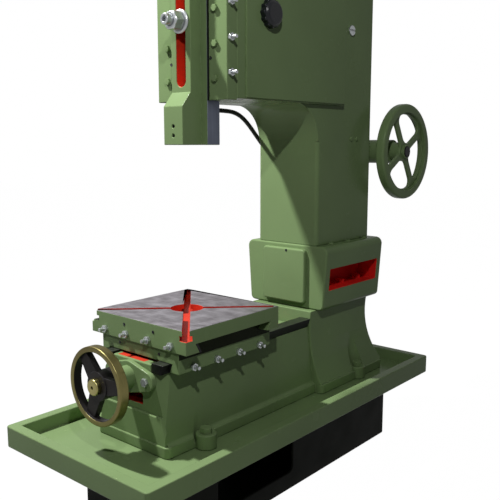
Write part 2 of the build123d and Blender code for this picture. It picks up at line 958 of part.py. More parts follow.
# Column: hollow shaft open below and towards the head, with a flare below the head
def make_column():
    body = rounded_block(-column_half, column_half, column_front, column_back, ledge_z, column_top, column_round)
    flare_y = column_front - flare_r
    flare_z = head_bottom - flare_r
    flare = block(-column_half, column_half, flare_y, column_front + column_round, flare_z, head_bottom)
    flare -= bar_x(flare_y, flare_z, 2 * flare_r, -column_half - over, column_half + over)
    body += flare
    inner = column_half - column_wall
    inner_front = column_front + column_wall
    inner_back = column_back - column_wall
    body -= block(-inner, inner, inner_front, inner_back, ledge_z - over, column_top - column_wall)
    low = head_bottom + head_floor
    body -= block(-inner, inner, column_front - over, inner_front + over, low, column_top - head_roof)
    body -= block(
        chain_x - 2 * chain_width,
        chain_x + 2 * chain_width,
        inner_back - over,
        column_back + over,
        counter_z,
        head_bottom + 2 * head_floor,
    )
    sight_z = head_bottom + sight_rise
    sight_end = column_half - sight_depth
    body -= bar_x(sight_y, sight_z, sight_shank_d + 2 * seat_gap, sight_end, column_half + over)
    body -= hole_x(column_gland_y, column_gland_z, cable_d, -column_half, -column_half + column_wall)
    for x, z in bracket_spots:
        body -= hole_y(x, z, bracket_bolt_d, column_back - column_wall, column_back)
    return body


def make_hold_bolts():
    bolts = []
    for x, y in hold_spots:
        shank = bar_z(x, y, hold_bolt_d, pedestal_top - hold_bolt_depth + tip_gap, pocket_floor)
        bolts.append(shank + hex_z(x, y, hold_bolt_af, pocket_floor, pocket_floor + hold_bolt_head))
    return bolts


def make_ledge_screws():
    screws = []
    for x, y in ledge_spots:
        seat = ledge_z - ledge_seat
        shank = bar_z(x, y, ledge_screw_d, ledge_z - ledge_screw_depth + tip_gap, seat)
        screws.append(shank + hex_z(x, y, ledge_screw_af, seat, seat + ledge_screw_head))
    return screws


def make_anchor_bolts():
    bolts = []
    low = plinth_height - 2 * plinth_plate
    boss_top = tray_floor_z + anchor_boss_height
    for x, y in anchor_spots:
        head = hex_z(x, y, anchor_head_af, boss_top, boss_top + anchor_head)
        bolts.append(bar_z(x, y, anchor_bolt_d, low, boss_top) + head)
    return bolts


# Head: hollow casting on the column's front, with cheeks over the column's sides
crank_bore_d = crankshaft_d + 2 * bush_wall
plug_z = head_bottom + plug_rise


def make_head():
    body = block(-head_half, head_half, head_front, column_front, head_bottom, column_top)
    body -= block(
        head_wall - head_half,
        head_half - head_wall,
        head_front + head_guide,
        column_front + over,
        head_bottom + head_floor,
        column_top - head_roof,
    )
    window_top = stud_z + block_height
    front = head_front - over
    low = head_bottom - over
    guide_back = head_front + head_guide
    body -= block(-window_half, window_half, front, guide_back + over, low, window_top)
    body -= block(-window_half, window_half, front, block_run_back, low, head_bottom + head_floor + over)
    for side in (-1, 1):
        x0 = min(side * (column_half + seat_gap), side * head_half)
        x1 = max(side * (column_half + seat_gap), side * head_half)
        body += block(x0, x1, column_front - over, cheek_back, head_bottom, column_top)
        for z in keeper_bolt_heights:
            x = side * keeper_bolt_x
            bolt_end = head_front + head_guide - blind
            body -= bar_y(x, z, keeper_bolt_d + 2 * seat_gap, head_front - over, bolt_end)
    body -= hole_x(crank_y, crank_z, crank_bore_d, -head_half, -head_half + head_wall)
    body -= hole_x(plug_y, plug_z, plug_spigot_d, head_half - head_wall, head_half)
    body -= bar_z(head_gland_x, head_gland_y, cable_d, head_bottom - over, head_bottom + head_floor + over)
    return body


# Ram guides: the ram's dovetail runs between two keepers, the right one with a gib
keeper_bottom = head_bottom - keeper_low
first_bolt = head_bottom + keeper_bolt_first
first_screw = head_bottom + ram_screw_first
keeper_bolt_heights = [first_bolt + i * keeper_bolt_pitch for i in range(keeper_bolt_count)]
ram_screw_heights = [first_screw + i * ram_screw_pitch for i in range(ram_screw_count)]


def ram_flank(y):
    return ram_flange_half + ram_undercut * (y - ram_flange_front) / (ram_flange_back - ram_flange_front)


def make_keeper(side, extra):
    y0 = ram_flange_front
    y1 = head_front
    points = [
        (ram_flank(y0) + extra, y0),
        (head_half, y0),
        (head_half, y1),
        (ram_flank(y1) + extra, y1),
    ]
    if side < 0:
        points = mirrored(points)
    body = prism_z(points, keeper_bottom, column_top)
    for z in keeper_bolt_heights:
        body -= hole_y(side * keeper_bolt_x, z, keeper_bolt_d, y0, y1)
    if side > 0:
        for z in ram_screw_heights:
            body -= bar_x(ram_screw_y, z, gib_screw_d + 2 * seat_gap, ram_flange_half, head_half + over)
    return body


def make_keeper_bolts():
    bolts = []
    for side in (-1, 1):
        for z in keeper_bolt_heights:
            x = side * keeper_bolt_x
            shank = bar_y(x, z, keeper_bolt_d, ram_flange_front, head_front + head_guide - blind - tip_gap)
            bolts.append(
                shank + hex_y(x, z, keeper_bolt_af, ram_flange_front - keeper_bolt_head, ram_flange_front)
            )
    return bolts


def make_ram_gib():
    y0 = ram_flange_front + seat_gap
    y1 = head_front - seat_gap
    points = [
        (ram_flank(y0) + slide_gap, y0),
        (ram_flank(y0) + slide_gap + ram_gib, y0),
        (ram_flank(y1) + slide_gap + ram_gib, y1),
        (ram_flank(y1) + slide_gap, y1),
    ]
    return prism_z(points, keeper_bottom, column_top)


ram_gib_out = slide_gap + ram_gib + seat_gap


def make_ram_screws():
    lean = ram_undercut / (ram_flange_back - ram_flange_front) * gib_screw_d / 2
    tip = ram_flank(ram_screw_y) + ram_gib_out + lean
    return [bar_x(ram_screw_y, z, gib_screw_d, tip, head_half + gib_screw_out) for z in ram_screw_heights]


# Ram: painted front bar with the tool block, on a bare dovetail slide
ram_top = ram_bottom + ram_length
tool_screw_heights = [ram_bottom + tool_screw_low + i * tool_screw_pitch for i in range(2)]
tool_axis_y = (tool_front + ram_flange_back) / 2


def make_ram():
    tail = [
        (-ram_flank(ram_flange_front), ram_flange_front),
        (ram_flank(ram_flange_front), ram_flange_front),
        (ram_flank(ram_flange_back), ram_flange_back),
        (-ram_flank(ram_flange_back), ram_flange_back),
    ]
    body = prism_z(tail, ram_bottom, ram_top)
    bar = [
        (tool_front, ram_bottom),
        (ram_flange_front + over, ram_bottom),
        (ram_flange_front + over, ram_top),
        (ram_front, ram_top),
        (ram_front, ram_bottom + tool_height + tool_slope),
        (tool_front, ram_bottom + tool_height),
    ]
    body += prism_x(bar, -ram_half, ram_half)
    low = ram_bottom + ram_slot_low
    high = ram_bottom + ram_slot_high
    half = ram_slot / 2
    body -= block(-half, half, ram_front - over, ram_flange_back + over, low + half, high - half)
    body -= bar_y(0, low + half, ram_slot, ram_front - over, ram_flange_back + over)
    body -= bar_y(0, high - half, ram_slot, ram_front - over, ram_flange_back + over)
    body -= bar_z(0, tool_axis_y, tool_bore_d, ram_bottom - over, ram_bottom + tool_bore_depth)
    for z in tool_screw_heights:
        body -= bar_y(0, z, tool_screw_d + 2 * seat_gap, tool_front - over, tool_axis_y)
    return body


def make_tool_screws():
    y0 = tool_front + 2
    screws = []
    for z in tool_screw_heights:
        socket = hex_y(0, z, tool_screw_d / 2, y0 - over, y0 + tool_screw_length / 3)
        screws.append(bar_y(0, z, tool_screw_d, y0, y0 + tool_screw_length) - socket)
    return screws


# Clamp and block
block_front = ram_flange_back + slide_gap
stud_inner = block_front + stud_seat
washer_back = ram_front - slide_gap
nut_back = washer_back - washer_thick
nut_front = nut_back - nut_height


def make_ram_block():
    half = block_height / 2
    body = block(-block_half, block_half, block_front, block_back, stud_z - half, stud_z + half)
    fork_front = stud_inner + over
    low = stud_z - half - over
    high = stud_z + half + over
    body -= block(-fork_half, fork_half, fork_front, block_back + over, low, high)
    body -= hole_y(0, stud_z, stud_d, block_front, stud_inner + over)
    return body - bar_x(pin_y, stud_z, pin_d + 2 * run_gap, -block_half - over, block_half + over)


def make_clamp_stud():
    socket = hex_y(0, stud_z, stud_socket_af, stud_end - over, stud_end + stud_socket_depth)
    return bar_y(0, stud_z, stud_d, stud_end, stud_inner) - socket


def make_clamp_washer():
    disc = bar_y(0, stud_z, washer_d, nut_back, washer_back)
    disc = chamfer(disc.edges().group_by(Axis.Y)[0], washer_thick / 2)
    return disc - hole_y(0, stud_z, stud_d, nut_back, washer_back)


def make_clamp_nut():
    nut = hex_y(0, stud_z, nut_af, nut_front, nut_back)
    dome = bar_y(0, stud_z, nut_af * 1.1, nut_front, nut_back)
    dome = chamfer(dome.edges().group_by(Axis.Y)[0], nut_af / 10)
    nut &= dome
    return nut - hole_y(0, stud_z, stud_d, nut_front, nut_back)


def make_rod_pin():
    return bar_x(pin_y, stud_z, pin_d, -block_half, block_half)


def make_rod():
    half = rod_thick / 2
    rod = bar_x(pin_y, stud_z, small_eye_d, -half, half)
    rod += bar_x(crank_pin_y, crank_pin_z, big_eye_d, -half, half)
    middle = Pos(0, (pin_y + crank_pin_y) / 2, (stud_z + crank_pin_z) / 2)
    rod += middle * Rot(-degrees(rod_top_lean), 0, 0) * Box(rod_thick, rod_width, rod_length)
    rod -= bar_x(pin_y, stud_z, pin_d + 2 * run_gap, -half - over, half + over)
    return rod - hole_x(crank_pin_y, crank_pin_z, crank_pin_d, -half, half)


def make_crank_pin():
    half = rod_thick / 2
    pin = bar_x(crank_pin_y, crank_pin_z, crank_pin_d, crank_disc_face + open_pivot_gap, half)
    return pin + bar_x(crank_pin_y, crank_pin_z, crank_pin_head_d, half, half + crank_pin_head)


disc_left = crank_disc_face - crank_disc_thick
shaft_left = -head_half - bush_flange - crankshaft_nose


def make_crankshaft():
    shaft = bar_x(crank_y, crank_z, 2 * (crank_radius + crank_rim), disc_left, crank_disc_face)
    slot = Box(2 * crank_disc_thick / 3, crank_pin_d, 2 * crank_radius)
    shaft -= Pos(crank_disc_face, crank_y, crank_z) * Rot(degrees(crank_top_angle) - 90, 0, 0) * slot
    return shaft + bar_x(crank_y, crank_z, crankshaft_d, shaft_left, disc_left)


def make_crank_bush():
    inner = -head_half + head_wall
    bush = bar_x(crank_y, crank_z, crank_bore_d, -head_half, inner)
    bush += bar_x(crank_y, crank_z, bush_flange_d, -head_half - bush_flange, -head_half)
    outer = -head_half - bush_flange
    return bush - bar_x(crank_y, crank_z, crankshaft_d + 2 * run_gap, outer - over, inner + over)


counter_sprocket_r = crank_sprocket_r / sprocket_teeth_ratio
sprocket_edge = chain_inside + link_gap


def make_sprocket(y, z, r, hub_d, bore_d, hub_x0, hub_x1):
    half = chain_width / 2 - over
    wheel = bar_x(y, z, 2 * (r - sprocket_edge), chain_x - half, chain_x + half)
    wheel += bar_x(y, z, hub_d, hub_x0, hub_x1)
    return wheel - hole_x(y, z, bore_d, hub_x0, hub_x1)


def make_crank_sprocket():
    hub_x0 = -head_half + head_wall + hub_gap
    return make_sprocket(crank_y, crank_z, crank_sprocket_r, sprocket_hub_d, crankshaft_d, hub_x0, disc_left)


def make_counter_sprocket():
    x0 = chain_x - chain_width
    x1 = chain_x + chain_width
    return make_sprocket(counter_y, counter_z, counter_sprocket_r, counter_hub_d, counter_d, x0, x1)


def make_chain():
    return loop_band(
        crank_y,
        crank_z,
        crank_sprocket_r,
        counter_y,
        counter_z,
        counter_sprocket_r,
        chain_inside,
        chain_outside,
        chain_x,
        chain_width,
    )


# Countershaft in its bracket on the column's back
bracket_x0 = (sleeve_left + sleeve_right - bracket_width) / 2 - 8
bracket_x1 = bracket_x0 + bracket_width
bracket_spots = [
    (x, z)
    for x in (bracket_x0 + bracket_bolt_inset, bracket_x1 - bracket_bolt_inset)
    for z in (counter_z - bracket_half + bracket_bolt_inset, counter_z + bracket_half - bracket_bolt_inset)
]


def make_bracket():
    foot_y = column_back + bracket_foot
    foot = block(
        bracket_x0, bracket_x1, column_back, foot_y, counter_z - bracket_half, counter_z + bracket_half
    )
    web = block(
        bracket_x0 + bracket_bolt_inset * 2,
        bracket_x1 - bracket_bolt_inset * 2,
        foot_y - over,
        counter_y,
        counter_z - bracket_web / 2,
        counter_z + bracket_web / 2,
    )
    body = foot + web + bar_x(counter_y, counter_z, sleeve_d, sleeve_left, sleeve_right)
    body -= bar_x(counter_y, counter_z, counter_d + 2 * run_gap, sleeve_left - over, sleeve_right + over)
    for x, z in bracket_spots:
        body -= hole_y(x, z, bracket_bolt_d, column_back, foot_y)
    return body


def make_bracket_bolts():
    foot_y = column_back + bracket_foot
    bolts = []
    for x, z in bracket_spots:
        shank = bar_y(x, z, bracket_bolt_d, column_back - column_wall, foot_y)
        bolts.append(shank + hex_y(x, z, bracket_bolt_af, foot_y, foot_y + bracket_bolt_head))
    return bolts


pulley_left = belt_x - pulley_face / 2
pulley_right = belt_x + pulley_face / 2
rear_hub_x0 = sleeve_right + hub_gap
rear_hub_x1 = rear_hub_x0 + rear_hub_length


def make_countershaft():
    return bar_x(counter_y, counter_z, counter_d, pulley_left, rear_hub_x1 + counter_nose)


def make_pulley(y, z, r, bore_d):
    edge = r + belt_outside
    wheel = bar_x(y, z, 2 * edge, pulley_left, pulley_right)
    groove = belt_width + 2
    wheel -= bar_x(y, z, 2 * edge + 2, belt_x - groove / 2, belt_x + groove / 2)
    wheel += bar_x(y, z, 2 * (r - belt_inside - link_gap), belt_x - groove / 2, belt_x + groove / 2)
    return wheel - hole_x(y, z, bore_d, pulley_left, pulley_right)


def make_belt():
    return loop_band(
        motor_y,
        motor_z,
        motor_pulley_r,
        counter_y,
        counter_z,
        counter_pulley_r,
        belt_inside,
        belt_outside,
        belt_x,
        belt_width,
    )


def make_rear_wheel():
    half = rear_wheel_width / 2
    rim = bar_x(counter_y, counter_z, rear_wheel_d, rear_wheel_x - half, rear_wheel_x + half)
    rim = fillet(rim.edges(), half / 2)
    inner_d = rear_wheel_d - 2 * rear_wheel_rim
    rim -= bar_x(counter_y, counter_z, inner_d, rear_wheel_x - half - over, rear_wheel_x + half + over)
    web_half = rear_wheel_web / 2
    web = bar_x(
        counter_y, counter_z, rear_wheel_d - rear_wheel_rim, rear_wheel_x - web_half, rear_wheel_x + web_half
    )
    corner = rear_spoke / 2 + rear_hole_r / 2
    hole = Pos(corner, corner) * Rectangle(rear_hole_r, rear_hole_r) & Circle(rear_hole_r)
    hole = fillet(hole.vertices().sort_by_distance((0, 0))[0], rear_hole_inner_round)
    hole = fillet(hole.vertices().sort_by_distance((0, 0))[-2:], rear_hole_outer_round)
    cut = extrude(hole, amount=rear_wheel_width)
    start = Plane(origin=(rear_wheel_x - half, counter_y, counter_z), x_dir=(0, 1, 0), z_dir=(1, 0, 0))
    for i in range(rear_spokes):
        turn = rear_hole_turn - 45 + i * 360 / rear_spokes
        web -= start.location * Rot(0, 0, turn) * cut
    wheel = rim + web + bar_x(counter_y, counter_z, rear_wheel_hub_d, rear_hub_x0, rear_wheel_x)
    wheel += bar_x(counter_y, counter_z, rear_hub_nose_d, rear_wheel_x, rear_hub_x1)
    return wheel - hole_x(counter_y, counter_z, counter_d, rear_hub_x0, rear_hub_x1)


# Motor on the column's top
motor_z = column_top + motor_centre


def make_motor():
    frame = bar_x(motor_y, motor_z, motor_d, motor_left, motor_right)
    length = motor_right - motor_left
    middle = (motor_left + motor_right) / 2
    for i in range(motor_fins):
        turn = i * 360 / motor_fins
        fin = Pos(0, 0, motor_d / 2) * Box(length * 0.8, motor_fin_thick, motor_fin)
        frame += Pos(middle, motor_y, motor_z) * Rot(turn, 0, 0) * fin
    for side in (-1, 1):
        y0 = motor_y + side * motor_foot_half
        y1 = motor_y + side * motor_d / 4
        foot = block(
            middle - motor_foot_length / 2,
            middle + motor_foot_length / 2,
            min(y0, y1),
            max(y0, y1),
            column_top,
            column_top + motor_foot_thick,
        )
        leg = block(
            middle - motor_foot_length / 2,
            middle + motor_foot_length / 2,
            min(y1, motor_y + side * motor_d / 3),
            max(y1, motor_y + side * motor_d / 3),
            column_top,
            motor_z,
        )
        frame += foot + leg
    cowl = bar_x(motor_y, motor_z, motor_d, motor_right, motor_right + motor_cowl)
    frame += fillet(cowl.edges().group_by(Axis.X)[-1], motor_cowl / 4)
    roof = motor_z + motor_d / 2
    y0 = motor_y - box_width / 2
    box = block(middle - box_half, middle + box_half, y0, y0 + box_width, motor_z, roof + box_height)
    frame += fillet(box.edges().filter_by(Axis.Z), box_height / 5)
    return frame - bar_x(motor_y, motor_z, motor_shaft_d + 2 * run_gap, motor_left - over, motor_right)


def make_motor_shaft():
    return bar_x(motor_y, motor_z, motor_shaft_d, pulley_left, motor_right - tip_gap)


# Small parts
def make_access_plug():
    plug = bar_x(plug_y, plug_z, plug_d - plug_lobe_r, head_half, head_half + plug_thick)
    plug = chamfer(plug.edges().group_by(Axis.X)[-1], plug_thick / 4)
    for i in range(plug_lobes):
        angle = 2 * pi * i / plug_lobes
        reach = plug_d / 2 - plug_lobe_r
        y = plug_y + reach * cos(angle)
        z = plug_z + reach * sin(angle)
        plug += bar_x(y, z, 2 * plug_lobe_r, head_half, head_half + plug_thick * 0.7)
    return plug + bar_x(plug_y, plug_z, plug_spigot_d, head_half - head_wall + blind, head_half)


def make_sight_plug():
    z = head_bottom + sight_rise
    plug = bar_x(sight_y, z, sight_d, column_half, column_half + sight_head)
    plug = chamfer(plug.edges().group_by(Axis.X)[-1], sight_head / 4)
    plug += bar_x(sight_y, z, sight_shank_d, column_half - sight_depth + tip_gap, column_half)
    return plug - block(
        column_half + sight_head / 2,
        column_half + sight_head + over,
        sight_y - sight_d,
        sight_y + sight_d,
        z - sight_slot / 2,
        z + sight_slot / 2,
    )


def make_gland():
    # Elbow standing on its hexagon at the origin, nose along +X
    body = hexagon(gland_af, gland_hex) + bar_z(0, 0, gland_d, gland_hex, gland_rise)
    body += Pos(0, 0, gland_rise) * Sphere(gland_d / 2)
    body += bar_x(0, gland_rise, gland_d, 0, gland_reach)
    body -= bar_x(0, gland_rise, cable_d + 2 * seat_gap, gland_reach - gland_hex, gland_reach + over)
    return body


# Cable route, from the gland under the head to the gland on the column's left side
head_gland_z = head_bottom - gland_rise
column_gland_x = -column_half - gland_rise
cable_end = gland_reach - gland_hex
cable_turn = cable_end + cable_run
tilt_cos = cos(radians(column_gland_tilt))
tilt_sin = sin(radians(column_gland_tilt))
cable_points = [
    (head_gland_x, head_gland_y + cable_end, head_gland_z),
    (head_gland_x, 214, head_gland_z),
    (-79, 256, 921),
    (-89, 298, 909),
    (-101, 341, 887),
    (-110, 383, 858),
    (-113, 418, 830),
    (column_gland_x, column_gland_y - cable_turn * tilt_cos, column_gland_z + cable_turn * tilt_sin),
    (column_gland_x, column_gland_y - cable_end * tilt_cos, column_gland_z + cable_end * tilt_sin),
]


def make_cable():
    points = [Vector(*p) for p in cable_points]
    radii = []
    for before, here, after in zip(points, points[1:], points[2:]):
        turn = radians((here - before).get_angle(after - here))
        shorter = min((here - before).length, (after - here).length)
        radii.append(0.45 * shorter / tan(turn / 2))
    path = FilletPolyline(*points, radius=radii)
    start = Plane(origin=points[0], z_dir=points[1] - points[0])
    tube = sweep(start * Circle(cable_d / 2), path=path)
    print("cable radii", [round(r) for r in radii])
    section = pi * cable_d**2 / 4
    print("cable length", round(path.length), "volume ratio", round(tube.volume / section / path.length, 4))
    return tube


print("stroke", round(stroke, 2), "crank turn", round(crank_turn, 3))
print("rod lean", round(degrees(rod_top_lean), 3), round(degrees(rod_bottom_lean), 3))
print("crank centre", crank_y, round(crank_z, 3), "stud", round(stud_z, 3), "table top", round(table_top, 3))
print("feed axis", round(feed_z, 3), "cross axis", round(cross_z, 3), "motor axis", round(motor_z, 3))

save("plinth", make_plinth())
save("drip_tray", make_tray())
save("base_casting", make_base())
save("bed_way_left", make_way(-1))
save("bed_way_right", make_way(1))
save("anchor_bolts", make_anchor_bolts())
save("feed_flange", make_feed_flange())
save("feed_flange_bolts", make_flange_bolts())
save("feed_screw", make_feed_screw())
save("front_handwheel", make_front_wheel())
save("front_hub_nut", make_hub_nut())
save("saddle", make_saddle())
save("saddle_gib", make_saddle_gib())
save("saddle_gib_screws", make_saddle_screws())
save("saddle_gib_nuts", [nut_x(y, saddle_screw_z, saddle_half) for y in saddle_screw_spots])
save("feed_nut", make_feed_nut())
save("cross_screw", make_cross_screw())
save("table", make_table())
save("table_gib", make_table_gib())
save("table_gib_screws", make_table_screws())
save("table_gib_nuts", [nut_y(x, table_screw_z, -table_half) for x in table_screw_spots])
save("cross_nut", make_cross_nut())
save("column_foot", make_column_foot())
save("column", make_column())
save("column_bolts", make_hold_bolts())
save("ledge_screws", make_ledge_screws())
save("head", make_head())
save("ram_keeper_left", make_keeper(-1, slide_gap))
save("ram_keeper_right", make_keeper(1, ram_gib_out))
save("keeper_bolts", make_keeper_bolts())
save("ram_gib", make_ram_gib())
save("ram_gib_screws", make_ram_screws())
save("ram_gib_nuts", [nut_x(ram_screw_y, z, head_half) for z in ram_screw_heights])
save("ram", make_ram())
save("tool_screws", make_tool_screws())
save("ram_block", make_ram_block())
save("clamp_stud", make_clamp_stud())
save("clamp_washer", make_clamp_washer())
save("clamp_nut", make_clamp_nut())
save("rod_pin", make_rod_pin())
save("connecting_rod", make_rod())
save("crank_pin", make_crank_pin())
save("crankshaft", make_crankshaft())
save("crank_bush", make_crank_bush())
save("crank_sprocket", make_crank_sprocket())
save("drive_chain", make_chain())
save("counter_bracket", make_bracket())
save("bracket_bolts", make_bracket_bolts())
save("countershaft", make_countershaft())
save("counter_sprocket", make_counter_sprocket())
save("counter_pulley", make_pulley(counter_y, counter_z, counter_pulley_r, counter_d))
save("rear_handwheel", make_rear_wheel())
save("drive_belt", make_belt())
save("motor", make_motor())
save("motor_shaft", make_motor_shaft())
save("motor_pulley", make_pulley(motor_y, motor_z, motor_pulley_r, motor_shaft_d))
save("access_plug", make_access_plug())
save("sight_plug", make_sight_plug())
head_plane = Plane(origin=(head_gland_x, head_gland_y, head_bottom), x_dir=(0, 1, 0), z_dir=(0, 0, -1))
column_plane = Plane(
    origin=(-column_half, column_gland_y, column_gland_z), x_dir=(0, -tilt_cos, tilt_sin), z_dir=(-1, 0, 0)
)
head_gland = head_plane.location * make_gland()
column_gland = column_plane.location * make_gland()
save("cable_glands", [head_gland, column_gland])
save("cable", make_cable())
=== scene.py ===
import bmesh
import bpy
import json
import math
from mathutils import Matrix, Vector


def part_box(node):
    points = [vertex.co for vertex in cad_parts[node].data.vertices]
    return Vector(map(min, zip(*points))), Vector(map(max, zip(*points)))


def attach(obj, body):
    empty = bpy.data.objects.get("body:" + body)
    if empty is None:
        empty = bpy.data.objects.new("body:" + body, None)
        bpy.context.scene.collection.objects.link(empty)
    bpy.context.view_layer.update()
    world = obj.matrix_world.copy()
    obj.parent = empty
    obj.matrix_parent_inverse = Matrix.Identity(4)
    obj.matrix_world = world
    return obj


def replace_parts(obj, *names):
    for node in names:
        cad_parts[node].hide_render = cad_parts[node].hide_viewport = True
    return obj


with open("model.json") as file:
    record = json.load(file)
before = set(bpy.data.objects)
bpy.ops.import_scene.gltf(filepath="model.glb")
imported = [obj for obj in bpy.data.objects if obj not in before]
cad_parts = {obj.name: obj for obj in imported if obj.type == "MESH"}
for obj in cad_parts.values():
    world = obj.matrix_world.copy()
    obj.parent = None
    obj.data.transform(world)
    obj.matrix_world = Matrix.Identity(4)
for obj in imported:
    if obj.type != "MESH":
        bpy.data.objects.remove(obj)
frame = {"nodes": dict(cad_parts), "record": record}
nodes = frame["nodes"]
record = frame["record"]
bodyOf = {node: body for body, members in record["behaviour"]["bodies"].items() for node in members}
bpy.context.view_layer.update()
print("loaded", len(nodes), "nodes")


def linear(red, green, blue):  # levels of 0 to 255
    levels = [level / 255 for level in (red, green, blue)]
    return tuple(v / 12.92 if v < 0.04045 else ((v + 0.055) / 1.055) ** 2.4 for v in levels) + (1.0,)


def give(tree, socket, value):
    if isinstance(value, bpy.types.NodeSocket):
        tree.links.new(value, socket)
    else:
        socket.default_value = value


def add(tree, kind, inputs=None, **settings):
    node = tree.nodes.new(kind)
    for key, value in settings.items():
        setattr(node, key, value)
    for socket, value in (inputs or {}).items():
        give(tree, node.inputs[socket], value)
    return node


def math2(tree, operation, first, second, clamp=False):
    return add(tree, "ShaderNodeMath", {0: first, 1: second}, operation=operation, use_clamp=clamp).outputs[0]


def blend(tree, factor, first, second, mode="MIX"):
    node = add(tree, "ShaderNodeMix", data_type="RGBA", blend_type=mode)
    for socket, value in ((0, factor), (6, first), (7, second)):
        give(tree, node.inputs[socket], value)
    return node.outputs[2]


def newGroup(name, inputs, outputs):
    tree = bpy.data.node_groups.new(name, "ShaderNodeTree")
    for label, kind, value in inputs:
        socket = tree.interface.new_socket(name=label, in_out="INPUT", socket_type=kind)
        socket.default_value = value
    for label, kind in outputs:
        tree.interface.new_socket(name=label, in_out="OUTPUT", socket_type=kind)
    return tree, tree.nodes.new("NodeGroupInput"), tree.nodes.new("NodeGroupOutput")


def use(tree, group, **values):
    node = tree.nodes.new("ShaderNodeGroup")
    node.node_tree = group
    for label, value in values.items():
        give(tree, node.inputs[label], value)
    return node.outputs


# Shared effects
number = "NodeSocketFloat"
place = "NodeSocketVector"


def makeBlotch():
    tree, given, out = newGroup(
        "blotch",
        [("Scale", number, 10.0), ("Detail", number, 3.0), ("Low", number, 0.0), ("High", number, 1.0)],
        [("Value", number)],
    )
    spot = add(tree, "ShaderNodeTexCoord").outputs["Object"]
    noise = add(
        tree,
        "ShaderNodeTexNoise",
        {"Vector": spot, "Scale": given.outputs["Scale"], "Detail": given.outputs["Detail"]},
    )
    spread = add(
        tree,
        "ShaderNodeMapRange",
        {0: noise.outputs[0], 1: 0.3, 2: 0.7, 3: given.outputs["Low"], 4: given.outputs["High"]},
        clamp=True,
    )
    tree.links.new(spread.outputs[0], out.inputs["Value"])
    return tree


def makeEdgeMask():
    tree, given, out = newGroup(
        "edgeMask", [("Radius", number, 0.003), ("Gain", number, 5.0)], [("Mask", number)]
    )
    soft = add(tree, "ShaderNodeBevel", {"Radius": given.outputs["Radius"]}, samples=4)
    normal = add(tree, "ShaderNodeNewGeometry").outputs["Normal"]
    dot = add(tree, "ShaderNodeVectorMath", {0: soft.outputs[0], 1: normal}, operation="DOT_PRODUCT")
    gap = math2(tree, "SUBTRACT", 1.0, dot.outputs["Value"])
    tree.links.new(math2(tree, "MULTIPLY", gap, given.outputs["Gain"], True), out.inputs["Mask"])
    return tree


# occlusion mask that darkens corners, creases and recesses: painted shade, also standing for dirt
def makeCornerShadeAndDirt():
    tree, given, out = newGroup(
        "cornerShadeAndDirt", [("Reach", number, 0.03), ("Power", number, 2.0)], [("Mask", number)]
    )
    shade = add(tree, "ShaderNodeAmbientOcclusion", {"Distance": given.outputs["Reach"]}, samples=6)
    dark = math2(tree, "SUBTRACT", 1.0, shade.outputs["AO"], True)
    tree.links.new(math2(tree, "POWER", dark, given.outputs["Power"], True), out.inputs["Mask"])
    return tree


def makeStreaks():
    tree, given, out = newGroup(
        "streaks",
        [("Stretch", place, (4.0, 300.0, 4.0)), ("Low", number, 0.0), ("High", number, 1.0)],
        [("Value", number)],
    )
    spot = add(tree, "ShaderNodeTexCoord").outputs["Object"]
    drawn = add(tree, "ShaderNodeVectorMath", {0: spot, 1: given.outputs["Stretch"]}, operation="MULTIPLY")
    noise = add(tree, "ShaderNodeTexNoise", {"Vector": drawn.outputs[0], "Scale": 1.0, "Detail": 4.0})
    spread = add(
        tree,
        "ShaderNodeMapRange",
        {0: noise.outputs[0], 1: 0.25, 2: 0.75, 3: given.outputs["Low"], 4: given.outputs["High"]},
        clamp=True,
    )
    tree.links.new(spread.outputs[0], out.inputs["Value"])
    return tree


blotch = makeBlotch()
edgeMask = makeEdgeMask()
cornerShadeAndDirt = makeCornerShadeAndDirt()
streaks = makeStreaks()


# Materials
def newMaterial(name):
    material = bpy.data.materials.new(name)
    material.use_nodes = True
    return material, material.node_tree, material.node_tree.nodes["Principled BSDF"]


def dim(shade, factor):
    return tuple(min(1.0, level * factor) for level in shade[:3]) + (1.0,)


def makePaint(name, spec):
    material, tree, skin = newMaterial(name)
    paint = spec["paint"]
    cloud = use(tree, blotch, Scale=spec.get("cloud", 5.0), Detail=3.0)["Value"]
    tone = blend(tree, cloud, dim(paint, 1 - spec["uneven"]), dim(paint, 1 + spec["uneven"]))
    speck = use(tree, blotch, Scale=90.0, Detail=5.0, Low=-0.35, High=1.0)["Value"]
    # lighter worn edges, which also paint a highlight along the edges
    rim = use(tree, edgeMask, Radius=spec.get("rim", 0.003), Gain=spec.get("wear", 2.0))["Mask"]
    edgeWearAndHighlight = math2(tree, "MULTIPLY", rim, speck, True)
    tone = blend(tree, edgeWearAndHighlight, tone, spec["edgeWearAndHighlight"])
    # corners and recesses darkened towards the dirt colour: painted shade, partly dirt
    shadeAndDirt = use(tree, cornerShadeAndDirt, Reach=spec.get("reach", 0.03), Power=1.6)["Mask"]
    stain = use(tree, blotch, Scale=26.0, Detail=4.0, Low=0.25, High=1.0)["Value"]
    grime = math2(tree, "MULTIPLY", math2(tree, "MULTIPLY", shadeAndDirt, stain), spec.get("grime", 0.6), True)
    tone = blend(tree, grime, tone, spec["shadeAndDirt"])
    tree.links.new(tone, skin.inputs["Base Color"])
    rough = spec["rough"]
    gloss = use(tree, blotch, Scale=14.0, Detail=4.0, Low=rough - 0.06, High=rough + 0.07)["Value"]
    dull = math2(tree, "MULTIPLY", grime, 0.7)
    tree.links.new(math2(tree, "MAXIMUM", gloss, dull), skin.inputs["Roughness"])
    peel = use(tree, blotch, Scale=spec.get("peel", 260.0), Detail=2.0)["Value"]
    relief = {"Strength": spec.get("bump", 0.12), "Distance": 0.0004, "Height": peel}
    tree.links.new(add(tree, "ShaderNodeBump", relief).outputs[0], skin.inputs["Normal"])
    skin.inputs["Specular IOR Level"].default_value = spec.get("shine", 0.4)
    return material


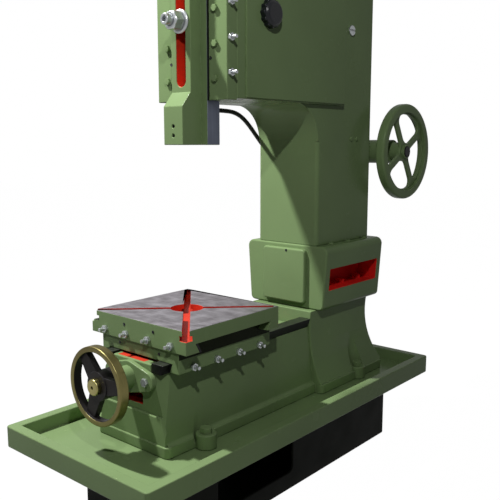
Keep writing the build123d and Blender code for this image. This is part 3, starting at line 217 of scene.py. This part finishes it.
def makeMetal(name, spec):
    material, tree, skin = newMaterial(name)
    base = spec["base"]
    line = use(tree, streaks, Stretch=spec["stretch"])["Value"]
    cloud = use(tree, blotch, Scale=spec.get("cloud", 18.0), Detail=4.0)["Value"]
    tone = blend(tree, line, dim(base, 1 - spec["uneven"]), dim(base, 1 + spec["uneven"]))
    tone = blend(tree, math2(tree, "MULTIPLY", cloud, spec.get("stain", 0.35)), tone, spec["stained"])
    # corners darkened: painted shade, partly grime
    shadeAndDirt = use(tree, cornerShadeAndDirt, Reach=spec.get("reach", 0.008), Power=1.4)["Mask"]
    tone = blend(tree, math2(tree, "MULTIPLY", shadeAndDirt, spec.get("grime", 0.7)), tone, linear(24, 22, 20))
    rim = use(tree, edgeMask, Radius=0.0015, Gain=spec.get("wear", 1.2))["Mask"]
    tone = blend(tree, rim, tone, dim(base, 1.5))
    tree.links.new(tone, skin.inputs["Base Color"])
    rough = spec["rough"]
    spread = spec.get("spread", 0.1)
    fine = use(tree, streaks, Stretch=spec["stretch"], Low=rough - spread, High=rough + spread)["Value"]
    dull = math2(tree, "MULTIPLY", cloud, 0.08)
    tree.links.new(math2(tree, "ADD", fine, dull, True), skin.inputs["Roughness"])
    relief = {"Strength": spec.get("bump", 0.1), "Distance": 0.0002, "Height": line}
    tree.links.new(add(tree, "ShaderNodeBump", relief).outputs[0], skin.inputs["Normal"])
    skin.inputs["Metallic"].default_value = spec.get("metallic", 1.0)
    return material


enamelGreen = makePaint("enamelGreen", {
    "paint": linear(129, 153, 105),
    "uneven": 0.06,
    "edgeWearAndHighlight": linear(172, 192, 148),
    "shadeAndDirt": linear(34, 40, 20),
    "rough": 0.22,
    "shine": 0.09,
})
redInside = makePaint("redInside", {
    "paint": linear(206, 52, 26),
    "uneven": 0.1,
    "edgeWearAndHighlight": linear(222, 96, 66),
    "shadeAndDirt": linear(70, 10, 8),
    "grime": 0.8,
    "reach": 0.02,
    "rough": 0.5,
})
pocketRed = makePaint("pocketRed", {
    "paint": linear(236, 40, 34),
    "uneven": 0.14,
    "edgeWearAndHighlight": linear(236, 120, 110),
    "shadeAndDirt": linear(120, 12, 10),
    "grime": 0.25,
    "rough": 0.5,
    "shine": 0.1,
})
# dark green used as painted shade in recesses under overhangs, and as oil
oilAndShadeGreen = makePaint("oilAndShadeGreen", {
    "paint": linear(38, 45, 25),
    "uneven": 0.3,
    "cloud": 18.0,
    "edgeWearAndHighlight": linear(100, 110, 82),
    "shadeAndDirt": linear(14, 14, 9),
    "grime": 0.9,
    "rough": 0.4,
    "shine": 0.05,
})
plinthBlack = makePaint("plinthBlack", {
    "paint": linear(20, 23, 17),
    "uneven": 0.25,
    "edgeWearAndHighlight": linear(58, 60, 52),
    "shadeAndDirt": linear(34, 27, 20),
    "rough": 0.5,
    "shine": 0.06,
})
wheelBlack = makePaint("wheelBlack", {
    "paint": linear(40, 37, 37),
    "uneven": 0.25,
    "edgeWearAndHighlight": linear(92, 98, 108),
    "wear": 1.4,
    "shadeAndDirt": linear(30, 27, 22),
    "rough": 0.38,
    "shine": 0.14,
})
motorGrey = makePaint("motorGrey", {
    "paint": linear(126, 132, 136),
    "uneven": 0.06,
    "edgeWearAndHighlight": linear(176, 180, 182),
    "shadeAndDirt": linear(40, 38, 34),
    "rough": 0.42,
})
groundIron = makeMetal("groundIron", {
    "base": linear(146, 140, 145),
    "stretch": (9.0, 420.0, 9.0),
    "uneven": 0.2,
    "stained": linear(196, 192, 198),
    "stain": 0.7,
    "cloud": 32.0,
    "rough": 0.42,
})
rawSteel = makeMetal("rawSteel", {
    "base": linear(112, 118, 132),
    "stretch": (260.0, 260.0, 6.0),
    "uneven": 0.18,
    "stained": linear(70, 72, 84),
    "rough": 0.36,
})
wayTop = makeMetal("wayTop", {
    "base": linear(112, 116, 108),
    "stretch": (420.0, 6.0, 420.0),
    "uneven": 0.15,
    "stained": linear(64, 68, 62),
    "rough": 0.38,
})
darkSteel = makeMetal("darkSteel", {
    "base": linear(52, 52, 54),
    "stretch": (160.0, 160.0, 160.0),
    "uneven": 0.2,
    "stained": linear(34, 32, 30),
    "rough": 0.42,
})
turnedSteel = makeMetal("turnedSteel", {
    "base": linear(176, 178, 182),
    "stretch": (420.0, 60.0, 60.0),
    "uneven": 0.12,
    "stained": linear(120, 120, 122),
    "rough": 0.3,
})
zinc = makeMetal("zinc", {
    "base": linear(214, 218, 220),
    "stretch": (120.0, 120.0, 120.0),
    "uneven": 0.1,
    "stained": linear(160, 166, 170),
    "rough": 0.3,
    "metallic": 0.75,
})
brass = makeMetal("brass", {
    "base": linear(176, 168, 112),
    "stretch": (60.0, 500.0, 60.0),
    "uneven": 0.1,
    "stained": linear(128, 116, 70),
    "rough": 0.28,
})
rimBrass = makeMetal("rimBrass", {
    "base": linear(140, 132, 84),
    "stretch": (60.0, 500.0, 60.0),
    "uneven": 0.16,
    "stained": linear(98, 88, 56),
    "stain": 0.7,
    "cloud": 9.0,
    "rough": 0.34,
})
bronze = makeMetal("bronze", {
    "base": linear(164, 122, 74),
    "stretch": (200.0, 200.0, 200.0),
    "uneven": 0.12,
    "stained": linear(110, 78, 46),
    "rough": 0.36,
})
rubber = makePaint("rubber", {
    "paint": linear(26, 26, 27),
    "uneven": 0.2,
    "edgeWearAndHighlight": linear(58, 58, 58),
    "shadeAndDirt": linear(46, 42, 36),
    "rough": 0.55,
    "peel": 900.0,
    "shine": 0.3,
})
# black plastic parts; on the oilers and the fan slots the black is painted shade
blackPlasticAndShade = makePaint("blackPlasticAndShade", {
    "paint": linear(20, 23, 30),
    "uneven": 0.12,
    "edgeWearAndHighlight": linear(60, 64, 72),
    "shadeAndDirt": linear(30, 28, 26),
    "rough": 0.26,
    "peel": 700.0,
})
print("materials", len(bpy.data.materials))


# Pieces
def placePiece(name, bm, materials, host):  # rides as the host node does
    mesh = bpy.data.meshes.new(name)
    bm.to_mesh(mesh)
    bm.free()
    if "custom_normal" in mesh.attributes:
        mesh.attributes.remove(mesh.attributes["custom_normal"])
    mesh.set_sharp_from_angle(angle=math.radians(38))
    for material in materials:
        mesh.materials.append(material)
    piece = bpy.data.objects.new(name, mesh)
    bpy.context.scene.collection.objects.link(piece)
    piece.modifiers.new("evenShading", "WEIGHTED_NORMAL").keep_sharp = True
    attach(piece, bodyOf[host])
    return piece


def turn(bm, profile, spot, axis, steps):  # spins a profile of (radius, rise) and stands it on a spot
    older = set(bm.verts)
    start = [bm.verts.new((radius, 0, rise)) for radius, rise in profile]
    edges = [bm.edges.new(pair) for pair in zip(start, start[1:])]
    bmesh.ops.spin(
        bm, geom=start + edges, cent=(0, 0, 0), axis=(0, 0, 1), angle=math.tau, steps=steps, use_merge=True
    )
    bmesh.ops.remove_doubles(bm, verts=[vert for vert in bm.verts if vert not in older], dist=1e-6)
    fresh = [vert for vert in bm.verts if vert not in older]
    faces = {face for vert in fresh for face in vert.link_faces}
    bmesh.ops.recalc_face_normals(bm, faces=list(faces))
    for face in faces:
        face.smooth = True
    facing = Vector(axis).to_track_quat("Z", "Y").to_matrix().to_4x4()
    bmesh.ops.transform(bm, matrix=Matrix.Translation(spot) @ facing, verts=fresh)


def turnedSet(name, spec, material, host):
    bm = bmesh.new()
    for spot in spec["spots"]:
        turn(bm, spec["profile"], spot, spec["axis"], spec.get("steps", 20))
    return placePiece(name, bm, [material], host)


def softCopy(node, spec, materials, zone=None):
    bm = bmesh.new()
    bm.from_mesh(nodes[node].data)
    bmesh.ops.remove_doubles(bm, verts=bm.verts, dist=1e-5)
    for spot, normal in spec.get("cuts", ()):
        whole = bm.verts[:] + bm.edges[:] + bm.faces[:]
        bmesh.ops.bisect_plane(bm, geom=whole, plane_co=spot, plane_no=normal)
    for face in bm.faces:
        face.smooth = True
        face.material_index = zone(face.calc_center_median(), face.normal) if zone else 0
    if spec.get("join", True):  # a flat face with holes in it keeps its triangles
        flat = math.radians(0.6)
        bmesh.ops.dissolve_limit(bm, angle_limit=flat, verts=bm.verts, edges=bm.edges, delimit={"MATERIAL"})
    steep = math.radians(spec.get("angle", 34))
    crisp = spec.get("crisp", lambda spot: False)
    ridges = [
        edge for edge in bm.edges
        if len(edge.link_faces) == 2 and edge.is_convex and edge.calc_face_angle() > steep
        and not crisp((edge.verts[0].co + edge.verts[1].co) / 2)
    ]
    bmesh.ops.bevel(
        bm,
        geom=ridges,
        offset=spec["edge"],
        offset_type="OFFSET",
        segments=spec.get("segments", 2),
        profile=0.5,
        affect="EDGES",
        clamp_overlap=False,
        loop_slide=False,
        material=-1,
    )
    piece = placePiece(node + "Looks", bm, materials, node)
    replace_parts(piece, node)
    return piece


def dress(node, material):
    nodes[node].material_slots[0].material = material


# Plinth, tray and base
plinth = {"edge": 0.004, "segments": 3}
softCopy("plinth", plinth, [plinthBlack])
dripTray = {"edge": 0.003, "segments": 3}
softCopy("drip_tray", dripTray, [enamelGreen])

baseCasting = {
    "edge": 0.003,
    "segments": 3,
    "hollow": 0.0465,
    "low": 0.2345,
    "front": -0.1655,
    "back": 0.3285,
    "seam": 0.0005,
}
redLip = {"left": -0.052, "right": 0.034, "front": -0.161, "back": -0.12}
baseCasting["cuts"] = [
    ((0, redLip["front"], 0), (0, 1, 0)),
    ((redLip["right"], 0, 0), (1, 0, 0)),
    ((redLip["left"], 0, 0), (1, 0, 0)),
]
bedNose = {"half": 0.055, "back": -0.118, "low": 0.222}  # its facets stay crisp
anchorBoss = {"x": 0.128, "ys": (-0.072, 0.534), "inner": 0.0255, "outer": 0.034}
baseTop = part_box("bed_way_right")[0].z


def baseZone(spot, normal):
    along = redLip["front"] < spot.y < redLip["back"]
    lip = spot.z > baseTop + baseCasting["seam"] and along and redLip["left"] < spot.x < redLip["right"]
    level = baseCasting["low"] < spot.z < baseTop - baseCasting["seam"]
    inside = level and abs(spot.x) < baseCasting["hollow"]
    return 1 if lip or inside and baseCasting["front"] < spot.y < baseCasting["back"] else 0


def baseCrisp(spot):
    reach = min(math.hypot(abs(spot.x) - anchorBoss["x"], spot.y - y) for y in anchorBoss["ys"])
    nose = abs(spot.x) > bedNose["half"] and spot.y < bedNose["back"] and spot.z > bedNose["low"]
    return nose or anchorBoss["inner"] < reach < anchorBoss["outer"]


baseCasting["crisp"] = baseCrisp
softCopy("base_casting", baseCasting, [enamelGreen, redInside], baseZone)
bedWay = {"edge": 0.0012}
for node in ("bed_way_left", "bed_way_right"):
    softCopy(node, bedWay, [wayTop, darkSteel], lambda spot, normal: 0 if normal.z > 0.5 else 1)
smallBolt = {"edge": 0.001}
softCopy("anchor_bolts", smallBolt, [enamelGreen])
feedFlange = {"edge": 0.002, "segments": 3}
softCopy("feed_flange", feedFlange, [enamelGreen])
softCopy("feed_flange_bolts", smallBolt, [zinc])

# Front handwheel
frontWheel = {"edge": 0.001, "brass": 0.0725}
wheelAxis = sum(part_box("front_handwheel"), Vector()) / 2


def frontWheelZone(spot, normal):
    reach = math.hypot(spot.x - wheelAxis.x, spot.z - wheelAxis.z)
    return 0 if reach > frontWheel["brass"] else 1


softCopy("front_handwheel", frontWheel, [rimBrass, wheelBlack], frontWheelZone)
hubNut = {"edge": 0.001}
softCopy("front_hub_nut", hubNut, [brass])

# Saddle and table
saddle = {"edge": 0.002, "segments": 3, "shadeAbove": 0.404}
saddle["cuts"] = [((0, 0, saddle["shadeAbove"]), (0, 0, 1))]
# the saddle's end faces above this height, under the table's overhang, take dark green as painted shade
softCopy(
    "saddle",
    saddle,
    [enamelGreen, oilAndShadeGreen],
    lambda spot, normal: 1 if normal.x > 0.5 and spot.z > saddle["shadeAbove"] else 0,
)
table = {
    "edge": 0.0015,
    "top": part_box("table")[1].z,
    "half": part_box("table")[1].x,
    "slot": 0.0225,
    "oilAndShadeFrom": 0.108,
}


def tableZone(spot, normal):
    if spot.z > table["top"] - 0.0002 and normal.z > 0.9:
        return 1
    out = max(abs(spot.x), abs(spot.y))
    if spot.z < table["top"] - table["slot"] or out > table["half"] - 0.0005:
        return 0
    # the slot ends near two corners take the dark green: painted shade and oil
    return 3 if spot.x * spot.y > 0 and out > table["oilAndShadeFrom"] else 2


softCopy("table", table, [enamelGreen, groundIron, redInside, oilAndShadeGreen], tableZone)
gibScrew = {"edge": 0.0007}
for node in ("saddle_gib_screws", "saddle_gib_nuts", "table_gib_screws", "table_gib_nuts"):
    softCopy(node, gibScrew, [zinc])
ballOiler = [
    (0, 0.0013),
    (0.0011, 0.001),
    (0.0016, 0.0004),
    (0.0024, 0.0009),
    (0.0034, 0.0006),
    (0.0034, -0.001),
]


# black ball oilers, whose black is painted shade of small oil holes
def frontOilers(name, spec, host):
    turnedSet(name, {"profile": ballOiler, "axis": (0, -1, 0), **spec}, blackPlasticAndShade, host)


tableOilers = {"spots": [(-0.042, -0.15, 0.454), (0.052, -0.15, 0.453)]}
frontOilers("tableOilers", tableOilers, "table")
saddleOilers = {"spots": [(-0.063, -0.146, 0.409), (0.065, -0.146, 0.407)]}
frontOilers("saddleOilers", saddleOilers, "saddle")
print("bed, saddle and table")

# Column and head
columnFoot = {
    "join": False,
    "edge": 0.002,
    "segments": 3,
    "low": 0.4635,
    "high": 0.5205,
    "front": 0.3915,
    "back": 0.6265,
    "in": 0.0655,
}


def footZone(spot, normal):  # the bolt pockets are red
    level = columnFoot["low"] < spot.z < columnFoot["high"]
    between = columnFoot["front"] < spot.y < columnFoot["back"]
    return 1 if level and between and abs(spot.x) > columnFoot["in"] else 0


softCopy("column_foot", columnFoot, [enamelGreen, pocketRed], footZone)
column = {"edge": 0.002, "segments": 3}
softCopy("column", column, [enamelGreen])
softCopy("column_bolts", smallBolt, [pocketRed])
softCopy("ledge_screws", smallBolt, [enamelGreen])
head = {"edge": 0.0025, "segments": 3}
softCopy("head", head, [enamelGreen])
headPanel = {"front": 0.082, "low": 0.943, "proud": 0.004, "sunk": 0.002, "edge": 0.002}
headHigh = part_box("head")[1]
bm = bmesh.new()
bmesh.ops.create_cube(bm, size=1.0)
near = Vector((headHigh.x - headPanel["sunk"], headPanel["front"], headPanel["low"]))
far = Vector((headHigh.x + headPanel["proud"], headHigh.y, headHigh.z))
stretch = Matrix.Diagonal((far - near).to_4d())
stretch[3][3] = 1.0
bmesh.ops.transform(bm, matrix=Matrix.Translation((near + far) / 2) @ stretch, verts=bm.verts)
outer = [edge for edge in bm.edges if min(vert.co.x for vert in edge.verts) > headHigh.x]
bmesh.ops.bevel(
    bm,
    geom=outer,
    offset=headPanel["edge"],
    segments=3,
    profile=0.5,
    affect="EDGES",
    clamp_overlap=True,
    material=-1,
)
placePiece("headPanel", bm, [enamelGreen], "head")
headOilers = {"spots": [(0.06, 0.023, 1.025), (0.01, 0.358, 0.563)]}
frontOilers("headOilers", headOilers, "head")
columnScrews = {
    "profile": [(0, 0.0032), (0.0048, 0.003), (0.006, 0.002), (0.0062, -0.001)],
    "axis": (1, 0, 0),
    "spots": [(0.097, 0.527, 0.855), (0.097, 0.554, 0.855)],
}
turnedSet("columnScrews", columnScrews, enamelGreen, "column")
keeper = {"edge": 0.002, "segments": 3}
for node in ("ram_keeper_left", "ram_keeper_right"):
    softCopy(node, keeper, [enamelGreen])
softCopy("keeper_bolts", smallBolt, [enamelGreen])
for node in ("ram_gib_screws", "ram_gib_nuts"):
    softCopy(node, gibScrew, [zinc])
plug = {"edge": 0.0025, "segments": 3}
softCopy("access_plug", plug, [blackPlasticAndShade])
sight = {"edge": 0.0008}
softCopy("sight_plug", sight, [zinc])
gland = {"edge": 0.0008}
softCopy("cable_glands", gland, [blackPlasticAndShade])

# Ram
ram = {
    "edge": 0.0018,
    "segments": 3,
    "bar": 0.0303,
    "back": 0.0535,
    "slot": 0.0142,
    "slotLow": 0.96,
    "slotHigh": 1.216,
}


def ramZone(spot, normal):
    level = ram["slotLow"] < spot.z < ram["slotHigh"]
    if level and abs(spot.x) < ram["slot"] and abs(normal.y) < 0.5:
        return 1
    flank = abs(spot.x) > ram["bar"] and abs(normal.x) > 0.5
    return 2 if flank or spot.y > ram["back"] else 0


softCopy("ram", ram, [enamelGreen, redInside, rawSteel], ramZone)
ramOiler = {"spots": [(-0.0302, -0.008, 1.014)]}  # clear of the clamp's washer
frontOilers("ramOiler", ramOiler, "ram")
softCopy("tool_screws", gibScrew, [darkSteel])
clampNut = {"edge": 0.0015, "segments": 3}
for node in ("clamp_stud", "clamp_washer", "clamp_nut"):
    softCopy(node, clampNut, [zinc])
print("column, head and ram")

# Drive behind the column
bracket = {"edge": 0.0025, "segments": 3}
softCopy("counter_bracket", bracket, [enamelGreen])
softCopy("bracket_bolts", smallBolt, [zinc])
rearWheel = {"join": False, "edge": 0.002, "segments": 3}
softCopy("rear_handwheel", rearWheel, [enamelGreen])
pulley = {"edge": 0.001}
for node in ("counter_pulley", "motor_pulley"):
    softCopy(node, pulley, [wheelBlack])
motor = {"edge": 0.0015}
softCopy("motor", motor, [motorGrey])
for node in ("motor_shaft", "feed_screw", "cross_screw", "rod_pin", "crank_pin"):
    dress(node, turnedSteel)
for node in ("countershaft", "counter_sprocket", "crank_sprocket", "crankshaft"):
    dress(node, darkSteel)
for node in ("connecting_rod", "ram_block", "saddle_gib", "table_gib", "ram_gib"):
    dress(node, darkSteel)
for node in ("feed_nut", "cross_nut", "crank_bush"):
    dress(node, bronze)
dress("drive_belt", rubber)

# Chain: a roller at each joint, with inner and outer plates by turns
chain = {
    "pitch": 0.0127,
    "high": 0.0088,
    "plate": 0.0011,
    "inner": 0.0022,
    "outer": 0.0034,
    "roller": 0.0042,
    "big": 0.09,
    "inset": 0.005,
    "overlap": 0.8,
}
chainLow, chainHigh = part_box("drive_chain")
bigHub = sum(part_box("crankshaft"), Vector()) / 2
smallHub = sum(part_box("countershaft"), Vector()) / 2
chainX = (chainLow.x + chainHigh.x) / 2
smallReach = chainHigh.y - chain["inset"] - smallHub.y
lineYZ = Vector((smallHub.y - bigHub.y, smallHub.z - bigHub.z))
along = math.atan2(lineYZ.y, lineYZ.x)
lean = math.acos((chain["big"] - smallReach) / lineYZ.length)
straight = lineYZ.length * math.sin(lean)
smallArc = 2 * lean * smallReach
bigArc = (math.tau - 2 * lean) * chain["big"]
loopLength = 2 * straight + smallArc + bigArc


def chainSpot(run):  # point of the pitch line, this far round the loop
    def onWheel(hub, reach, angle):
        return Vector((chainX, hub.y + reach * math.cos(angle), hub.z + reach * math.sin(angle)))

    run %= loopLength
    if run < straight:
        start = onWheel(bigHub, chain["big"], along + lean)
        return start.lerp(onWheel(smallHub, smallReach, along + lean), run / straight)
    run -= straight
    if run < smallArc:
        return onWheel(smallHub, smallReach, along + lean - run / smallReach)
    run -= smallArc
    if run < straight:
        start = onWheel(smallHub, smallReach, along - lean)
        return start.lerp(onWheel(bigHub, chain["big"], along - lean), run / straight)
    return onWheel(bigHub, chain["big"], along - lean - (run - straight) / chain["big"])


linkCount = 2 * round(loopLength / chain["pitch"] / 2)
step = loopLength / linkCount
across = Matrix.Rotation(math.radians(90), 4, "Y")
bm = bmesh.new()
for i in range(linkCount):
    here = chainSpot(i * step)
    gap = chainSpot((i + 1) * step) - here
    facing = Matrix.Rotation(math.atan2(gap.z, gap.y), 4, "X")
    apart = chain["outer"] if i % 2 else chain["inner"]
    oval = Matrix.Diagonal((chain["plate"], step + chain["high"] * chain["overlap"], chain["high"], 1.0))
    for side in (-apart, apart):
        middle = Matrix.Translation(here + gap / 2 + Vector((side, 0, 0)))
        bmesh.ops.create_cone(
            bm,
            cap_ends=True,
            segments=12,
            radius1=0.5,
            radius2=0.5,
            depth=1.0,
            matrix=middle @ facing @ oval @ across,
        )
    bmesh.ops.create_cone(
        bm,
        cap_ends=True,
        segments=10,
        radius1=chain["roller"],
        radius2=chain["roller"],
        depth=2 * chain["outer"] + 2 * chain["plate"],
        matrix=Matrix.Translation(here) @ across,
    )
for face in bm.faces:
    face.smooth = True
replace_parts(placePiece("chainLooks", bm, [darkSteel], "drive_chain"), "drive_chain")

# Motor: black rings as painted shade of the fan cowl's slots, and the bolts of the feet
motorLow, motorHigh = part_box("motor")
shaftLow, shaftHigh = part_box("motor_shaft")
fanSlotShades = {"reaches": (0.016, 0.028, 0.04, 0.052), "half": 0.0024, "rise": 0.0004, "sunk": -0.001}
fanSpot = (motorHigh.x, (motorLow.y + motorHigh.y) / 2, (shaftLow.z + shaftHigh.z) / 2)
bm = bmesh.new()
for reach in fanSlotShades["reaches"]:
    inside = reach - fanSlotShades["half"]
    outside = reach + fanSlotShades["half"]
    levels = (fanSlotShades["sunk"], fanSlotShades["rise"])
    ring = [(inside, level) for level in levels] + [(outside, level) for level in reversed(levels)]
    turn(bm, ring, fanSpot, (1, 0, 0), 48)
placePiece("fanSlotShades", bm, [blackPlasticAndShade], "motor")
motorFeet = {"xs": (-0.038, 0.052), "inset": 0.014, "rise": 0.0135}
footRows = (motorLow.y + motorFeet["inset"], motorHigh.y - motorFeet["inset"])
footBolts = {
    "profile": [(0, 0.007), (0.0078, 0.007), (0.009, 0.0058), (0.009, 0), (0.0115, 0), (0.0115, -0.0015)],
    "axis": (0, 0, 1),
    "steps": 6,
    "spots": [(x, y, motorLow.z + motorFeet["rise"]) for x in motorFeet["xs"] for y in footRows],
}
turnedSet("footBolts", footBolts, zinc, "motor")
print("drive")

# Cable from the head to the column
cable = {"diameter": 0.011, "length": 0.364, "route": [
    (-0.074, 0.166, 0.924),
    (-0.074, 0.214, 0.924),
    (-0.079, 0.256, 0.921),
    (-0.089, 0.298, 0.909),
    (-0.101, 0.341, 0.887),
    (-0.110, 0.383, 0.858),
    (-0.113, 0.418, 0.830),
    (-0.113, 0.44827, 0.80733),
    (-0.113, 0.48643, 0.78348),
]}
curve = bpy.data.curves.new("cableLooks", "CURVE")
curve.dimensions = "3D"
curve.bevel_depth = cable["diameter"] / 2
curve.bevel_resolution = 6
curve.resolution_u = 12
spline = curve.splines.new("NURBS")
spline.points.add(len(cable["route"]) - 1)
for point, spot in zip(spline.points, cable["route"]):
    point.co = spot + (1.0,)
spline.order_u = 3
spline.use_endpoint_u = True
curve.materials.append(rubber)
cableLooks = bpy.data.objects.new("cableLooks", curve)
bpy.context.scene.collection.objects.link(cableLooks)
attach(cableLooks, "frame")
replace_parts(cableLooks, "cable")
print("cable")

# Floor, light and camera
floor = {
    "half": 12.0,
    "white": 0.93,
    "glow": 1.07,
    "dusty": (0.22, 0.22, 0.22, 1),
    "clean": (0.26, 0.26, 0.26, 1),
}
floorMesh = bpy.data.meshes.new("floor")
bm = bmesh.new()
bmesh.ops.create_grid(bm, x_segments=1, y_segments=1, size=floor["half"])
bm.to_mesh(floorMesh)
bm.free()
floorPiece = bpy.data.objects.new("floor", floorMesh)
bpy.context.scene.collection.objects.link(floorPiece)
studio = {"ambient": 0.024, "mirrored": 0.42}


def backdropLevel(tree, white):  # white where it is looked at, paler in reflections
    path = add(tree, "ShaderNodeLightPath")
    bent = math2(tree, "MAXIMUM", path.outputs["Is Glossy Ray"], path.outputs["Is Transmission Ray"])
    return math2(
        tree,
        "MAXIMUM",
        math2(tree, "MULTIPLY", path.outputs["Is Camera Ray"], white),
        math2(tree, "MULTIPLY", bent, studio["mirrored"]),
    )


floorPaint, tree, skin = newMaterial("floorPaint")
dust = use(tree, blotch, Scale=3.0, Low=0.0, High=1.0)["Value"]
tree.links.new(blend(tree, dust, floor["dusty"], floor["clean"]), skin.inputs["Base Color"])
skin.inputs["Roughness"].default_value = 0.9
share = backdropLevel(tree, floor["white"])
glow = add(tree, "ShaderNodeEmission", {"Color": (1, 1, 1, 1), "Strength": floor["glow"]})
mixed = add(tree, "ShaderNodeMixShader", {0: share, 1: skin.outputs[0], 2: glow.outputs[0]})
tree.links.new(mixed.outputs[0], tree.nodes["Material Output"].inputs["Surface"])
floorMesh.materials.append(floorPaint)

world = bpy.data.worlds.new("studio")
bpy.context.scene.world = world
world.use_nodes = True
tree = world.node_tree
tree.nodes.clear()
level = math2(tree, "MAXIMUM", backdropLevel(tree, 1.0), studio["ambient"])
surround = add(tree, "ShaderNodeBackground", {"Color": (1, 1, 1, 1), "Strength": level})
output = add(tree, "ShaderNodeOutputWorld")
tree.links.new(surround.outputs[0], output.inputs["Surface"])

lamps = {
    "overhead": {"spot": (-0.86, -0.6, 2.5), "aim": (0.0, 0.1, 0.6), "size": 0.12, "watts": 72.0},
    "beside": {"spot": (1.12, -0.98, 1.9), "aim": (0.0, 0.1, 0.6), "size": 0.06, "watts": 11.0},
}
for name, spec in lamps.items():
    lamp = bpy.data.lights.new(name, "AREA")
    lamp.shape = "DISK"
    lamp.size = spec["size"]
    lamp.energy = spec["watts"]
    piece = bpy.data.objects.new(name, lamp)
    piece.location = spec["spot"]
    piece.rotation_euler = (Vector(spec["spot"]) - Vector(spec["aim"])).to_track_quat("Z", "Y").to_euler()
    bpy.context.scene.collection.objects.link(piece)

view = {"spot": (1.132, -1.098, 0.846), "down": 8.75, "turn": 40.6, "lens": 50.4}
camera = bpy.data.cameras.new("camera")
camera.lens = view["lens"]
camera.sensor_width = 36.0
camera.clip_start = 0.05
cameraPiece = bpy.data.objects.new("camera", camera)
cameraPiece.location = view["spot"]
cameraPiece.rotation_euler = (math.radians(90 - view["down"]), 0, math.radians(view["turn"]))
bpy.context.scene.collection.objects.link(cameraPiece)
bpy.context.scene.camera = cameraPiece
bpy.context.scene.view_settings.view_transform = "Standard"
